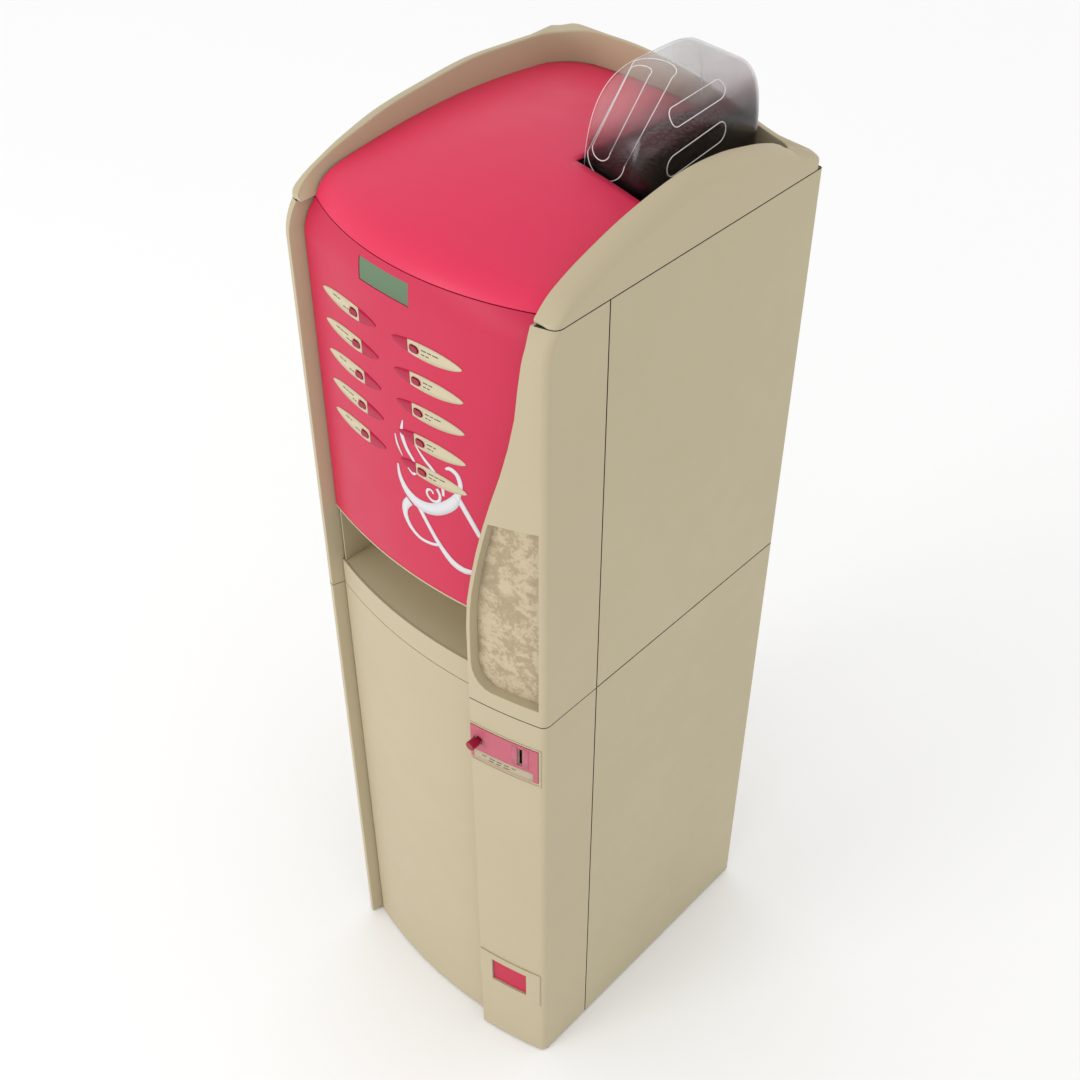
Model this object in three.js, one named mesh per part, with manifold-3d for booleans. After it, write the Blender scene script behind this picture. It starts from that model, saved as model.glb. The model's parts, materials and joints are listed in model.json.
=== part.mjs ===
// Free-standing hot drinks vending machine: an upper drinks unit on a lower base cabinet.
// Millimetres, +Z up, +X to the right of someone facing the front, front towards -Y.
import * as THREE from 'three';
import { mergeVertices } from 'three/addons/utils/BufferGeometryUtils.js';
import Module from 'manifold-3d';

const wasm = await Module();
wasm.setup();

// ---- Driving dimensions -------------------------------------------------------------------------
const WIDTH = 480;               // outside of one side panel to the outside of the other
const DEPTH = 563.5;             // front corners to the rear panel
const MID_SEAM_Z = 910.5;        // joint between the base cabinet and the drinks unit
const TOP_SEAM_Z = 1602.8;       // joint between the drinks unit and the crown
const SEAM_GAP = 1.6;            // open joint between neighbouring panels
const DOOR_WRAP = 117.3;         // how far each door wraps back round the sides
const FLOOR_CLEARANCE = 3;       // skins stop this far above the floor

const SHEET = 2;                 // steel side and rear panels
const SKIN = 3.5;                // moulded door skins
const CLEAR = 0.4;               // clearance between touching pieces
const SLIDE_FIT = 0.5;           // clearance all round a sliding piece

const DOOR_ARC_R = 766;          // plan radius of the door skins
const DOOR_BULGE = 12.75;        // how far the door arc's middle stands in front of the corners
const PILLAR_ARC_R = 787;        // plan radius of the pillar fronts
const PILLAR_BULGE = 34.25;
const TOP_ARC_R = 470;           // plan radius of the selection panel at the top seam
const TOP_ARC_BULGE = 8.75;
const LEAN_HEIGHT = 48;          // the front leans back over this height under the top seam
const PILLAR_LEAN = 19;          // and by this much on the pillars
const CORNER_R = 14;             // rounded vertical corners

const PILLAR_W = 26;             // left pillar, outside to its inner face
const PILLAR_FRONT_W = 17;       // left pillar, outside to its front edge
const COLUMN_W = 129;            // coin column and the foot of the service column

const BAY_SILL_H = 50;           // sill of the cup bay above the middle seam
const BAY_H = 114.5;             // clear height of the cup bay opening
const BAY_DEPTH = 118;

const BUTTON_ROWS = 5;
const BUTTON_PITCH = 51;
const TOP_BUTTON_DROP = 107;     // top row of buttons below the top seam
const BUTTON_COLUMNS = [-96.5, 24];
const BUTTON_W = 15;
const BUTTON_H = 10;
const BUTTON_DEPTH = 12;
const BUTTON_PROUD = 2.5;

const DISPLAY = { x0: -77, x1: 18, drop: 47, height: 34 };
const INLAY_DEPTH = 16;
const INLAY_SHEET = 4;

// Pieces on the coin column are placed from its free edge and from the side of the machine.
const COIN_PLATE = { fromEdge: 0.8, fromSide: 11, drop0: 56.5, drop1: 130 };
const COIN_SLOT = { fromSide: 40.5, w: 8, drop0: 64, drop1: 102 };
const KNOB = { fromEdge: 16, drop: 84.5, r: 8, proud: 22 };
const KNOB_TRAVEL = 6;
const RETURN_PLATE = { fromEdge: 1, fromSide: 8, z0: 152, z1: 249 };
const RETURN_WINDOW = { fromEdge: 26, fromSide: 34, z0: 171, z1: 233 };
const RETURN_DEPTH = 85;
const RETURN_WALL = 2.4;
const FLAP_ROOM = 6;             // head room inside the coin return for the flap's swing

const RIM_LEFT = 27;             // width of the crown along the left, the right and the rear
const RIM_RIGHT = 35;
const RIM_REAR = 20;
const RIM_WALL = 3.5;
const LID_SHEET = 4;

const HOPPER = { fromSide: 77, w: 113, fromRear: 29.75, depth: 258, height: 164.2, wall: 3 };

// ---- Derived places -----------------------------------------------------------------------------
const left = -WIDTH / 2;
const right = WIDTH / 2;
const front = -DEPTH / 2;
const rear = DEPTH / 2;
const doorRear = front + DOOR_WRAP - SEAM_GAP / 2;
const panelFront = front + DOOR_WRAP + SEAM_GAP / 2;
const baseTop = MID_SEAM_Z - SEAM_GAP / 2;
const unitFoot = MID_SEAM_Z + SEAM_GAP / 2;
const unitTop = TOP_SEAM_Z - SEAM_GAP / 2;
const crownFoot = TOP_SEAM_Z + SEAM_GAP / 2;
const columnLeft = right - COLUMN_W;
const pillarInner = left + PILLAR_W;
const bayFoot = MID_SEAM_Z + BAY_SILL_H;
const bayTop = bayFoot + BAY_H;
const deckTop = TOP_SEAM_Z - 2.8;
const onColumn = (item) => ({ ...item, x0: columnLeft + item.fromEdge, x1: right - item.fromSide });
const coinPlate = onColumn(COIN_PLATE);
const returnPlate = onColumn(RETURN_PLATE);
const returnWindow = onColumn(RETURN_WINDOW);
const slotX = right - COIN_SLOT.fromSide;
const knobX = columnLeft + KNOB.fromEdge;
const knobTip = frontArc(knobX, PILLAR_ARC_R, PILLAR_BULGE) - KNOB.proud;
const hopper = {
  x0: right - HOPPER.fromSide - HOPPER.w,
  x1: right - HOPPER.fromSide,
  y0: rear - HOPPER.fromRear - HOPPER.depth,
  y1: rear - HOPPER.fromRear,
  top: TOP_SEAM_Z + HOPPER.height,
  wall: HOPPER.wall,
};

// ---- Materials ----------------------------------------------------------------------------------
const paint = (color, roughness, metalness = 0) =>
  new THREE.MeshStandardMaterial({ color, roughness, metalness });
const BEIGE = '#cdbf9f';
const PINK = '#dc4a6a';
const CRIMSON = '#b4103f';
const STEEL = '#b8b9b6';
const GREY = '#7d7f80';
const DARK = '#2b2a2a';

// ---- Curves -------------------------------------------------------------------------------------
const smoothstep = (t) => {
  const s = Math.min(Math.max(t, 0), 1);
  return s * s * (3 - 2 * s);
};
const mix = (a, b, t) => a + (b - a) * t;
const steps = (from, to, count) =>
  Array.from({ length: count + 1 }, (_, i) => mix(from, to, i / count));

/** Plan arc across the front: y at a given x, for an arc that bulges in front of the corners. */
function frontArc(x, radius, bulge) {
  return -DEPTH / 2 - bulge + radius - Math.sqrt(radius * radius - x * x);
}

/** Smooth curve through [key, value] pairs, keys rising. */
function curveThrough(pairs) {
  const slope = (i) => {
    const a = pairs[Math.max(i - 1, 0)];
    const b = pairs[Math.min(i + 1, pairs.length - 1)];
    return (b[1] - a[1]) / (b[0] - a[0]);
  };
  return (key) => {
    const k = Math.min(Math.max(key, pairs[0][0]), pairs.at(-1)[0]);
    const found = pairs.findIndex((pair) => pair[0] > k);
    const i = found < 1 ? pairs.length - 2 : found - 1;
    const span = pairs[i + 1][0] - pairs[i][0];
    const t = (k - pairs[i][0]) / span;
    const h = t * t * (3 - 2 * t);
    const inward = slope(i) * span * t * (1 - t) * (1 - t);
    const outward = slope(i + 1) * span * t * t * (1 - t);
    return pairs[i][1] * (1 - h) + pairs[i + 1][1] * h + inward - outward;
  };
}

/** How far the front has leaned back at a height, 0 below the lean and 1 at the top seam. */
const leanAt = (z) => Math.max(0, (z - (TOP_SEAM_Z - LEAN_HEIGHT)) / LEAN_HEIGHT) ** 2;
const LEAN_LEVELS = [LEAN_HEIGHT, 36, 24, 12].map((drop) => TOP_SEAM_Z - drop);

/** Front face of the selection panel and the door skins. */
function panelY(x, z) {
  const lower = frontArc(x, DOOR_ARC_R, DOOR_BULGE);
  const upper = frontArc(x, TOP_ARC_R, TOP_ARC_BULGE);
  return mix(lower, upper, leanAt(z));
}

/** Front face of the pillars and columns. */
const pillarY = (x, z) => frontArc(x, PILLAR_ARC_R, PILLAR_BULGE) + PILLAR_LEAN * leanAt(z);

/** The service column swells from the slim crown rim to its foot: 0 to 1 at a drop under the top seam. */
const columnSwell = curveThrough([
  [0, 0], [25, -0.04], [71, 0.02], [134, 0.09], [202, 0.234], [250, 0.372], [299, 0.527],
  [370, 0.723], [443, 0.883], [486, 0.957], [540, 0.995], [592, 1], [MID_SEAM_Z, 1],
]);
const columnWidth = (drop) => mix(RIM_RIGHT, COLUMN_W, columnSwell(drop));
const columnEdge = (z) => right - columnWidth(TOP_SEAM_Z - z);

/** Height of the crown's crest along the left side, the right side and the rear. */
const crestLeft = curveThrough([
  [-266, 2], [-259, 11], [-239, 28], [-211, 43], [-174, 58], [-108, 76], [-13, 86], [66, 91],
  [148, 86], [233, 76], [DEPTH / 2, 69],
]);
const crestRight = curveThrough([
  [-266, 4], [-244, 25], [-218, 39], [-182, 53], [-110, 74], [-34, 88], [20, 92], [87, 86],
  [131, 76], [176, 63], [219, 46], [DEPTH / 2, 24],
]);
const crestRear = curveThrough([[-240, 66], [-160, 77], [-60, 86], [60, 61], [150, 29], [240, 11]]);
const REAR_BLEND = 75;
function crestZ(x, y) {
  const across = mix(crestLeft(y), crestRight(y), x / WIDTH + 0.5);
  const toRear = smoothstep((y - (rear - REAR_BLEND)) / REAR_BLEND);
  return TOP_SEAM_Z + mix(across, crestRear(x), toRear);
}

/** Upper face of the top cover. */
const LID_FRONT_RISE = 26;
const LID_ARCH = 22;
const LID_DOME = 25;
const LID_TILT = 23;
function lidZ(x, y) {
  const back = Math.max(0, y - frontArc(x, TOP_ARC_R, TOP_ARC_BULGE));
  const rise = LID_FRONT_RISE * (1 - Math.exp(-back / 14));
  const arch = LID_ARCH * Math.sin((Math.PI * back) / 500);
  const u = x / (WIDTH / 2 - RIM_LEFT);
  const dome = LID_DOME * (1 - u * u) - (LID_TILT * (1 + u)) / 2;
  return crownFoot + rise + arch + dome * (1 - Math.exp(-back / 60));
}

// ---- Solids -------------------------------------------------------------------------------------
/** A closed manifold body from a geometry. */
function solid(geometry) {
  const bare = geometry.clone();
  bare.deleteAttribute('normal');
  bare.deleteAttribute('uv');
  const merged = mergeVertices(bare, 1e-4);
  return new wasm.Manifold(new wasm.Mesh({
    numProp: 3,
    vertProperties: new Float32Array(merged.attributes.position.array),
    triVerts: new Uint32Array(merged.index.array),
  }));
}

/** The geometry of a manifold body. */
function geometryOf(body) {
  const mesh = body.getMesh();
  const geometry = new THREE.BufferGeometry();
  geometry.setAttribute('position', new THREE.BufferAttribute(mesh.vertProperties, 3));
  geometry.setIndex(new THREE.BufferAttribute(mesh.triVerts, 1));
  return geometry;
}

function box(x0, x1, y0, y1, z0, z1) {
  const geometry = new THREE.BoxGeometry(x1 - x0, y1 - y0, z1 - z0);
  return solid(geometry.translate((x0 + x1) / 2, (y0 + y1) / 2, (z0 + z1) / 2));
}

/** A cylinder from one point to another. */
function rod(from, to, radius, sides = 24, endRadius = radius) {
  const a = new THREE.Vector3(...from);
  const b = new THREE.Vector3(...to);
  const geometry = new THREE.CylinderGeometry(endRadius, radius, a.distanceTo(b), sides);
  const turn = new THREE.Quaternion().setFromUnitVectors(
    new THREE.Vector3(0, 1, 0), b.clone().sub(a).normalize());
  geometry.applyQuaternion(turn).translate((a.x + b.x) / 2, (a.y + b.y) / 2, (a.z + b.z) / 2);
  return solid(geometry);
}

const outline = (points) => new THREE.Shape(points.map(([u, v]) => new THREE.Vector2(u, v)));

/** Plan outline (x, y) raised from z0 to z1. */
function prismUp(points, z0, z1) {
  const geometry = new THREE.ExtrudeGeometry(outline(points), { depth: z1 - z0, bevelEnabled: false });
  return solid(geometry.translate(0, 0, z0));
}

/** Front outline (x, z) run through from y0 back to y1. */
function prismBack(points, y0, y1) {
  const geometry = new THREE.ExtrudeGeometry(outline(points), { depth: y1 - y0, bevelEnabled: false });
  return solid(geometry.rotateX(Math.PI / 2).translate(0, y1, 0));
}

/** Side outline (y, z) run across from x0 to x1. */
function prismAcross(points, x0, x1) {
  const geometry = new THREE.ExtrudeGeometry(outline(points), { depth: x1 - x0, bevelEnabled: false });
  const turn = new THREE.Matrix4().makeBasis(
    new THREE.Vector3(0, 1, 0), new THREE.Vector3(0, 0, 1), new THREE.Vector3(1, 0, 0));
  return solid(geometry.applyMatrix4(turn).translate(x0, 0, 0));
}

/** A closed body through a row of equal rings of [x, y, z] points; flat gives a ring's 2-D outline. */
function loft(rings, flat) {
  const count = rings[0].length;
  const index = [];
  for (let i = 0; i + 1 < rings.length; i += 1) {
    for (let j = 0; j < count; j += 1) {
      const k = (j + 1) % count;
      const [a, b, c, d] = [i * count + j, i * count + k, (i + 1) * count + k, (i + 1) * count + j];
      index.push(a, b, c, a, c, d);
    }
  }
  const cap = (row, turned) => {
    const contour = rings[row].map((point) => new THREE.Vector2(...flat(point)));
    const sense = Math.sign(THREE.ShapeUtils.area(contour));
    for (const face of THREE.ShapeUtils.triangulateShape(contour, [])) {
      const area = THREE.ShapeUtils.area(face.map((i) => contour[i]));
      const keep = Math.sign(area) === sense;
      const [a, b, c] = keep !== turned ? face : [face[0], face[2], face[1]];
      index.push(row * count + a, row * count + b, row * count + c);
    }
  };
  cap(0, true);
  cap(rings.length - 1, false);
  const geometry = new THREE.BufferGeometry();
  geometry.setAttribute('position', new THREE.Float32BufferAttribute(rings.flat(2), 3));
  geometry.setIndex(index);
  return solid(signedVolume(geometry) < 0 ? reversed(geometry) : geometry);
}

function signedVolume(geometry) {
  const at = geometry.attributes.position;
  const [a, b, c] = [new THREE.Vector3(), new THREE.Vector3(), new THREE.Vector3()];
  let volume = 0;
  for (let i = 0; i < geometry.index.count; i += 3) {
    a.fromBufferAttribute(at, geometry.index.getX(i));
    b.fromBufferAttribute(at, geometry.index.getX(i + 1));
    c.fromBufferAttribute(at, geometry.index.getX(i + 2));
    volume += a.dot(b.cross(c)) / 6;
  }
  return volume;
}

function reversed(geometry) {
  const old = geometry.index.array;
  const index = [];
  for (let i = 0; i < old.length; i += 3) index.push(old[i], old[i + 2], old[i + 1]);
  return geometry.setIndex(index);
}

const inPlan = ([x, y]) => [x, y];
const fromSide = ([, y, z]) => [y, z];
const fromFront = ([x, , z]) => [x, z];

// ---- The assembly -------------------------------------------------------------------------------
const machine = new THREE.Group();
machine.name = 'drinks_machine';
machine.position.y = -(knobTip + rear) / 2;

function add(name, body, material) {
  const mesh = new THREE.Mesh(geometryOf(body), material);
  mesh.name = name;
  machine.add(mesh);
}

// ---- Base cabinet and drinks unit: panels, plates and feet ---------------------------------------
const FOOT_INSET = 45;
const FOOT_R = 20;
const BASE_PLATE_Z = 14;

function addFeet() {
  let number = 1;
  for (const x of [left + FOOT_INSET, right - FOOT_INSET]) {
    for (const y of [panelFront + FOOT_INSET, rear - FOOT_INSET]) {
      const pad = rod([x, y, 0], [x, y, 6], FOOT_R, 24, FOOT_R - 3);
      const stem = rod([x, y, 5], [x, y, BASE_PLATE_Z - CLEAR], 5, 12);
      add(`levelling_foot_${number}`, pad.add(stem), paint(DARK, 0.8));
      number += 1;
    }
  }
}

/** Side panels, rear panel and the plates between them, for one of the two stacked boxes. */
function addBox(prefix, z0, z1, plates) {
  for (const [side, x0] of [['left', left], ['right', right - SHEET]]) {
    add(`${prefix}_${side}_panel`, box(x0, x0 + SHEET, panelFront, rear, z0, z1), paint(BEIGE, 0.5));
  }
  const inside = [left + SHEET + CLEAR, right - SHEET - CLEAR];
  let back = box(...inside, rear - SHEET, rear, z0, z1);
  if (prefix === 'base') back = back.subtract(powerInletHole());
  add(`${prefix}_rear_panel`, back, paint(BEIGE, 0.5));
  for (const [name, bottom, top, cut] of plates) {
    const plate = box(...inside, panelFront, rear - SHEET - CLEAR, bottom, top);
    add(name, cut ? plate.subtract(cut) : plate, paint(STEEL, 0.4, 0.8));
  }
}

const INLET = { x: right - 50, z: 90, w: 30, h: 24 };
function powerInletHole() {
  return box(INLET.x - INLET.w / 2 - CLEAR, INLET.x + INLET.w / 2 + CLEAR, rear - 10, rear + 5,
    INLET.z - INLET.h / 2 - CLEAR, INLET.z + INLET.h / 2 + CLEAR);
}

/** Mains inlet: a shrouded socket whose flange sits behind the rear panel. */
function addPowerInlet() {
  const shroud = box(INLET.x - INLET.w / 2, INLET.x + INLET.w / 2, rear - 24, rear,
    INLET.z - INLET.h / 2, INLET.z + INLET.h / 2);
  const flange = box(INLET.x - INLET.w / 2 - 6, INLET.x + INLET.w / 2 + 6, rear - 24,
    rear - SHEET - CLEAR, INLET.z - INLET.h / 2 - 6, INLET.z + INLET.h / 2 + 6);
  const mouth = box(INLET.x - INLET.w / 2 + 3, INLET.x + INLET.w / 2 - 3, rear - 18, rear + 1,
    INLET.z - INLET.h / 2 + 3, INLET.z + INLET.h / 2 - 3);
  add('mains_inlet', shroud.add(flange).subtract(mouth), paint(DARK, 0.6));
}

// ---- Crown ---------------------------------------------------------------------------------------
const ROLL_DROP = 13;            // how far the crown's outer edge falls below its crest
const INNER_CORNER_LEFT = 60;
const INNER_CORNER_RIGHT = 24;
const CORNER_STEPS = 6;
// Across the crown, outside to inside: share of its width and fall below the crest, in rolls.
const ROLL_SHAPE = [[0, 1.7], [0.07, 1.15], [0.24, 0.62], [0.5, 0.26], [0.8, 0.05], [1, 0]];

/** Outer and inner plan points of the crown, from its left front tip round the rear to the right. */
function crownStations() {
  const tip = front + 16;
  const innerLeft = left + RIM_LEFT;
  const innerRight = right - RIM_RIGHT;
  const innerRear = rear - RIM_REAR;
  const stations = [];
  const nose = (y) => {
    const ahead = Math.min(CORNER_R, Math.max(0, tip + CORNER_R - y));
    return CORNER_R - Math.sqrt(CORNER_R ** 2 - ahead ** 2);
  };
  const sideYs = [0, 3, 7, 14, 24, 38, 60, 90, 130, 180, 240, 310, 380].map((step) => tip + step);
  const leftEnd = innerRear - INNER_CORNER_LEFT;
  const rightEnd = innerRear - INNER_CORNER_RIGHT;
  for (const y of [...sideYs, leftEnd]) stations.push([[left + nose(y), y], [innerLeft, y]]);
  const corner = (outerX, innerX, innerR, side) => {
    const arcs = steps(0, Math.PI / 2, CORNER_STEPS).map((angle) => {
      const [c, s] = [Math.cos(angle), Math.sin(angle)];
      return [
        [outerX + side * CORNER_R * (c - 1), rear - CORNER_R * (1 - s)],
        [innerX + side * innerR * (c - 1), innerRear - innerR * (1 - s)],
      ];
    });
    return side < 0 ? arcs : arcs.reverse();
  };
  stations.push(...corner(left, innerLeft, INNER_CORNER_LEFT, -1));
  for (const x of steps(innerLeft + INNER_CORNER_LEFT + 30, innerRight - INNER_CORNER_RIGHT - 20, 6)) {
    stations.push([[x, rear], [x, innerRear]]);
  }
  stations.push(...corner(right, innerRight, INNER_CORNER_RIGHT, 1));
  for (const y of [rightEnd, ...sideYs.reverse()]) {
    stations.push([[right - nose(y), y], [innerRight, y]]);
  }
  return stations;
}

/** Inverted channel that runs round three sides: a rolled outer edge, a crest and an inner wall. */
function addCrown() {
  const rings = crownStations().map(([outer, inner]) => {
    const at = (t) => [mix(outer[0], inner[0], t), mix(outer[1], inner[1], t)];
    const crest = crestZ(...inner);
    const height = crest - crownFoot;
    const roll = Math.min(ROLL_DROP, height * 0.3);
    const ceiling = crownFoot + Math.max(CLEAR, height - roll - RIM_WALL);
    const shoulder = ROLL_SHAPE.map(([t, fall]) => [...at(t), crest - roll * fall]);
    return [
      [...at(0), crownFoot],
      ...shoulder,
      [...at(1), crownFoot],
      [...at(0.86), crownFoot],
      [...at(0.86), ceiling],
      [...at(0.16), Math.max(crownFoot + CLEAR, ceiling - roll)],
      [...at(0.16), crownFoot],
    ];
  });
  add('crown', loft(rings, fromFront), paint(BEIGE, 0.5));
}

// ---- Top cover and bean hopper -------------------------------------------------------------------
/** Plan outline inside the crown, inset by a clearance. */
function lidOutline(inset) {
  const [x0, x1] = [left + RIM_LEFT, right - RIM_RIGHT];
  const y1 = rear - RIM_REAR;
  const r = INNER_CORNER_LEFT;
  const corner = steps(Math.PI / 2, Math.PI, CORNER_STEPS).map((angle) => [
    x0 + r + (r - inset) * Math.cos(angle), y1 - r + (r - inset) * Math.sin(angle)]);
  return [
    [x0 + inset, front - 60], [x1 - inset, front - 60], [x1 - inset, y1 - inset], ...corner];
}

const COVER_GAP = 2;             // the cover stops this far left of the dome and this far before it
const COVER_NOTCH = 8;

function addTopCover() {
  const backs = [0, 3, 7, 13, 22, 36, 60, 100, 150, 210, 280, 350, 420, 490, 580];
  const rings = steps(left + RIM_LEFT - 1, right - RIM_RIGHT + 1, 14).map((x) => {
    const foremost = frontArc(x, TOP_ARC_R, TOP_ARC_BULGE);
    const upper = backs.map((back) => [x, foremost + back, lidZ(x, foremost + back)]);
    const lower = backs.slice(2).map((back) => [x, foremost + back, lidZ(x, foremost + back) - LID_SHEET]);
    return [...upper, ...lower.reverse(), [x, foremost + LID_SHEET, crownFoot]];
  });
  const trim = prismUp(lidOutline(CLEAR), crownFoot - 1, crownFoot + 200);
  const notch = box(hopper.x0 - COVER_GAP, right, hopper.y0 - COVER_NOTCH, rear, crownFoot - 1, crownFoot + 200);
  add('top_cover', loft(rings, fromSide).intersect(trim).subtract(notch), paint(PINK, 0.35));
}

const DOME_LEFT_R = 12;          // rounding of the dome's edges on its left and on its right
const DOME_RIGHT_R = 32;
const DOME_TILT = 0.05;          // the dome's top falls this much to the right for each millimetre
const DOME_CREST = 115;          // the highest line of the dome behind its front
const DOME_FRONT_POWER = 3;      // powers of the superellipses that its side outline follows
const DOME_REAR_POWER = 4.4;
/** Side outline of the hopper dome at x, drawn in by an inset; it stands on foot. */
function domeOutline(x, inset, foot) {
  const base = deckTop + CLEAR + 1;
  const middle = hopper.y0 + DOME_CREST;
  const rise = hopper.top - DOME_TILT * (x - hopper.x0) - inset - base;
  const quarter = (power, reach, count) => steps(0, Math.PI / 2, count).map((angle) => [
    x, middle + reach * Math.cos(angle) ** (2 / power), base + rise * Math.sin(angle) ** (2 / power)]);
  const [y0, y1] = [hopper.y0 + inset, hopper.y1 - inset];
  return [
    [x, y0, foot], ...quarter(DOME_FRONT_POWER, y0 - middle, 10),
    ...quarter(DOME_REAR_POWER, y1 - middle, 9).reverse().slice(1), [x, y1, foot]];
}

/** The dome's outer or inner skin, with rounded upright edges and long top edges. */
function domeBody(wall, foot) {
  const side = (edge, sense, radius) => steps(0, Math.PI / 2, 5).map((angle) => {
    const turned = radius - wall;
    return [edge + sense * (wall + turned * (1 - Math.cos(angle))), wall + turned * (1 - Math.sin(angle))];
  });
  const rings = [...side(hopper.x0, 1, DOME_LEFT_R), ...side(hopper.x1, -1, DOME_RIGHT_R).reverse()];
  return loft(rings.map(([x, inset]) => domeOutline(x, inset, foot)), fromSide);
}

function addHopper() {
  const foot = deckTop + CLEAR;
  const clear = paint('#c9c9c4', 0.15);
  clear.transparent = true;
  clear.opacity = 0.45;
  add('hopper_dome', domeBody(0, foot).subtract(domeBody(hopper.wall, foot - 1)), clear);
}

const TUB_DEPTH = 110;
const TUB_INSET = 12;
/** The bean tub hangs by its flange in a hole of the top plate, concentric with the dome's foot. */
function tubPrism(grow, z0, z1) {
  const [x0, x1] = [hopper.x0 + TUB_INSET - grow, hopper.x1 - TUB_INSET + grow];
  const [y0, y1] = [hopper.y0 + TUB_INSET - grow, hopper.y1 - TUB_INSET + grow];
  const r = DOME_RIGHT_R - TUB_INSET + grow;
  const corners = [[x1 - r, y1 - r], [x0 + r, y1 - r], [x0 + r, y0 + r], [x1 - r, y0 + r]];
  const points = corners.flatMap(([x, y], i) => steps(0, 1, 5).map((t) => {
    const angle = ((i + t) * Math.PI) / 2;
    return [x + r * Math.cos(angle), y + r * Math.sin(angle)];
  }));
  return prismUp(points, z0, z1);
}

function addHopperTub() {
  const body = tubPrism(0, deckTop - TUB_DEPTH, deckTop + CLEAR + 1);
  const flange = tubPrism(6, deckTop + CLEAR, deckTop + CLEAR + 2);
  const pocket = tubPrism(-2.5, deckTop - TUB_DEPTH + 2.5, deckTop + 10);
  const throat = rod([GRINDER.x, GRINDER.y, deckTop - TUB_DEPTH - 5],
    [GRINDER.x, GRINDER.y, deckTop - TUB_DEPTH + 5], 25);
  add('bean_tub', body.add(flange).subtract(pocket).subtract(throat), paint(DARK, 0.4));
}

// ---- Inside the drinks unit ----------------------------------------------------------------------
const GRINDER = { x: (hopper.x0 + hopper.x1) / 2, y: hopper.y0 + 106, r: 52, h: 130 };
const BREW = {
  x0: GRINDER.x - 66, x1: GRINDER.x + 69, y0: GRINDER.y - 120, y1: GRINDER.y + 50, h: 185 };
const CANISTER = { w: 78, y0: panelFront + 33, y1: rear - 112, h: 215 };

function addGrinder() {
  const top = deckTop - TUB_DEPTH - CLEAR;
  const { x, y, r, h } = GRINDER;
  const body = rod([x, y, top - h], [x, y, top - 18], r, 36);
  const throat = rod([x, y, top - 20], [x, y, top], 30, 24);
  const chute = box(x - 16, x + 16, y - r - 40, y - r + 10, top - h + 8, top - h + 40);
  const funnel = rod([x, y - r - 24, top - h - 30], [x, y - r - 24, top - h + 10], 10, 20, 14);
  add('coffee_grinder', body.add(throat).add(chute).add(funnel), paint(GREY, 0.4, 0.5));
  return top - h - 30;
}

function addBrewUnit(top) {
  const { x0, x1, y0, y1, h } = BREW;
  const frame = box(x0, x1, y0, y1, top - h, top - 40);
  const shaft = rod([GRINDER.x, y0 + 80, top - 45], [GRINDER.x, y0 + 80, top - CLEAR * 2], 34, 28);
  const spout = box(x0 + 20, x0 + 60, y0 - 40, y0 + 5, top - h + 20, top - h + 50);
  add('brew_unit', frame.add(shaft).add(spout), paint('#3c3f44', 0.5));
  return top - h;
}

function addCanisters() {
  const top = deckTop - 30;
  for (const [i, x0] of [left + 22, left + 22 + CANISTER.w + 12].entries()) {
    const x1 = x0 + CANISTER.w;
    const body = box(x0, x1, CANISTER.y0 + 30, CANISTER.y1, top - CANISTER.h, top);
    const nozzle = rod([(x0 + x1) / 2, CANISTER.y0 + 35, top - CANISTER.h + 22],
      [(x0 + x1) / 2, CANISTER.y0, top - CANISTER.h + 22], 17, 20);
    const bend = rod([(x0 + x1) / 2, CANISTER.y0 + 12, top - CANISTER.h + 22],
      [(x0 + x1) / 2, CANISTER.y0 + 12, top - CANISTER.h - 12], 13, 20);
    add(`powder_canister_${i + 1}`, body.add(nozzle).add(bend), paint('#d9d6cc', 0.4));
  }
}

const BOILER = { x: left + 95, y: rear - 162, r: 62, foot: unitFoot + 38, h: 230 };

function addBoiler() {
  const { x, y, r, foot, h } = BOILER;
  const tank = rod([x, y, foot], [x, y, foot + h], r, 36);
  const dome = rod([x, y, foot + h - 1], [x, y, foot + h + 20], r, 36, r - 22);
  const outlet = rod([x, y, foot + h + 19], [x, y, foot + h + 45], 8, 16);
  const stand = box(x - 35, x + 35, y - 35, y + 35, unitFoot + SHEET + CLEAR, foot + 1);
  add('boiler', tank.add(dome).add(outlet).add(stand), paint('#b08a5a', 0.3, 0.9));
}

// ---- Inside the base cabinet ---------------------------------------------------------------------
function addWaterTank() {
  const z0 = BASE_PLATE_Z + SHEET + CLEAR;
  const [x0, x1, y0, y1] = [left + 30, left + 200, rear - 262, rear - 42];
  const [x, y] = [(x0 + x1) / 2, (y0 + y1) / 2];
  const body = box(x0, x1, y0, y1, z0, z0 + 380);
  const neck = rod([x, y, z0 + 379], [x, y, z0 + 410], 28, 28);
  add('water_tank', body.add(neck), paint('#dfe6e8', 0.3));
}

function addWasteBucket() {
  const z0 = BASE_PLATE_Z + SHEET + CLEAR;
  const [x0, x1, y0, y1, h] = [right - 230, right - 35, panelFront + 33, panelFront + 313, 330];
  const flare = 14;
  const wall = (grow, z) => [
    [x0 + grow, y0 + grow, z], [x1 - grow, y0 + grow, z], [x1 - grow, y1 - grow, z],
    [x0 + grow, y1 - grow, z]];
  const outer = loft([wall(flare, z0), wall(0, z0 + h)], inPlan);
  const inner = loft([wall(flare + 3, z0 + 3), wall(3, z0 + h + 1)], inPlan);
  add('waste_bucket', outer.subtract(inner), paint('#5a5d60', 0.6));
}

// ---- Door mouldings ------------------------------------------------------------------------------
/** Rings of one plan outline at several heights. */
const stack = (levels, ring) => loft(levels.map((z) => ring(z).map(([x, y]) => [x, y, z])), inPlan);

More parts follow.
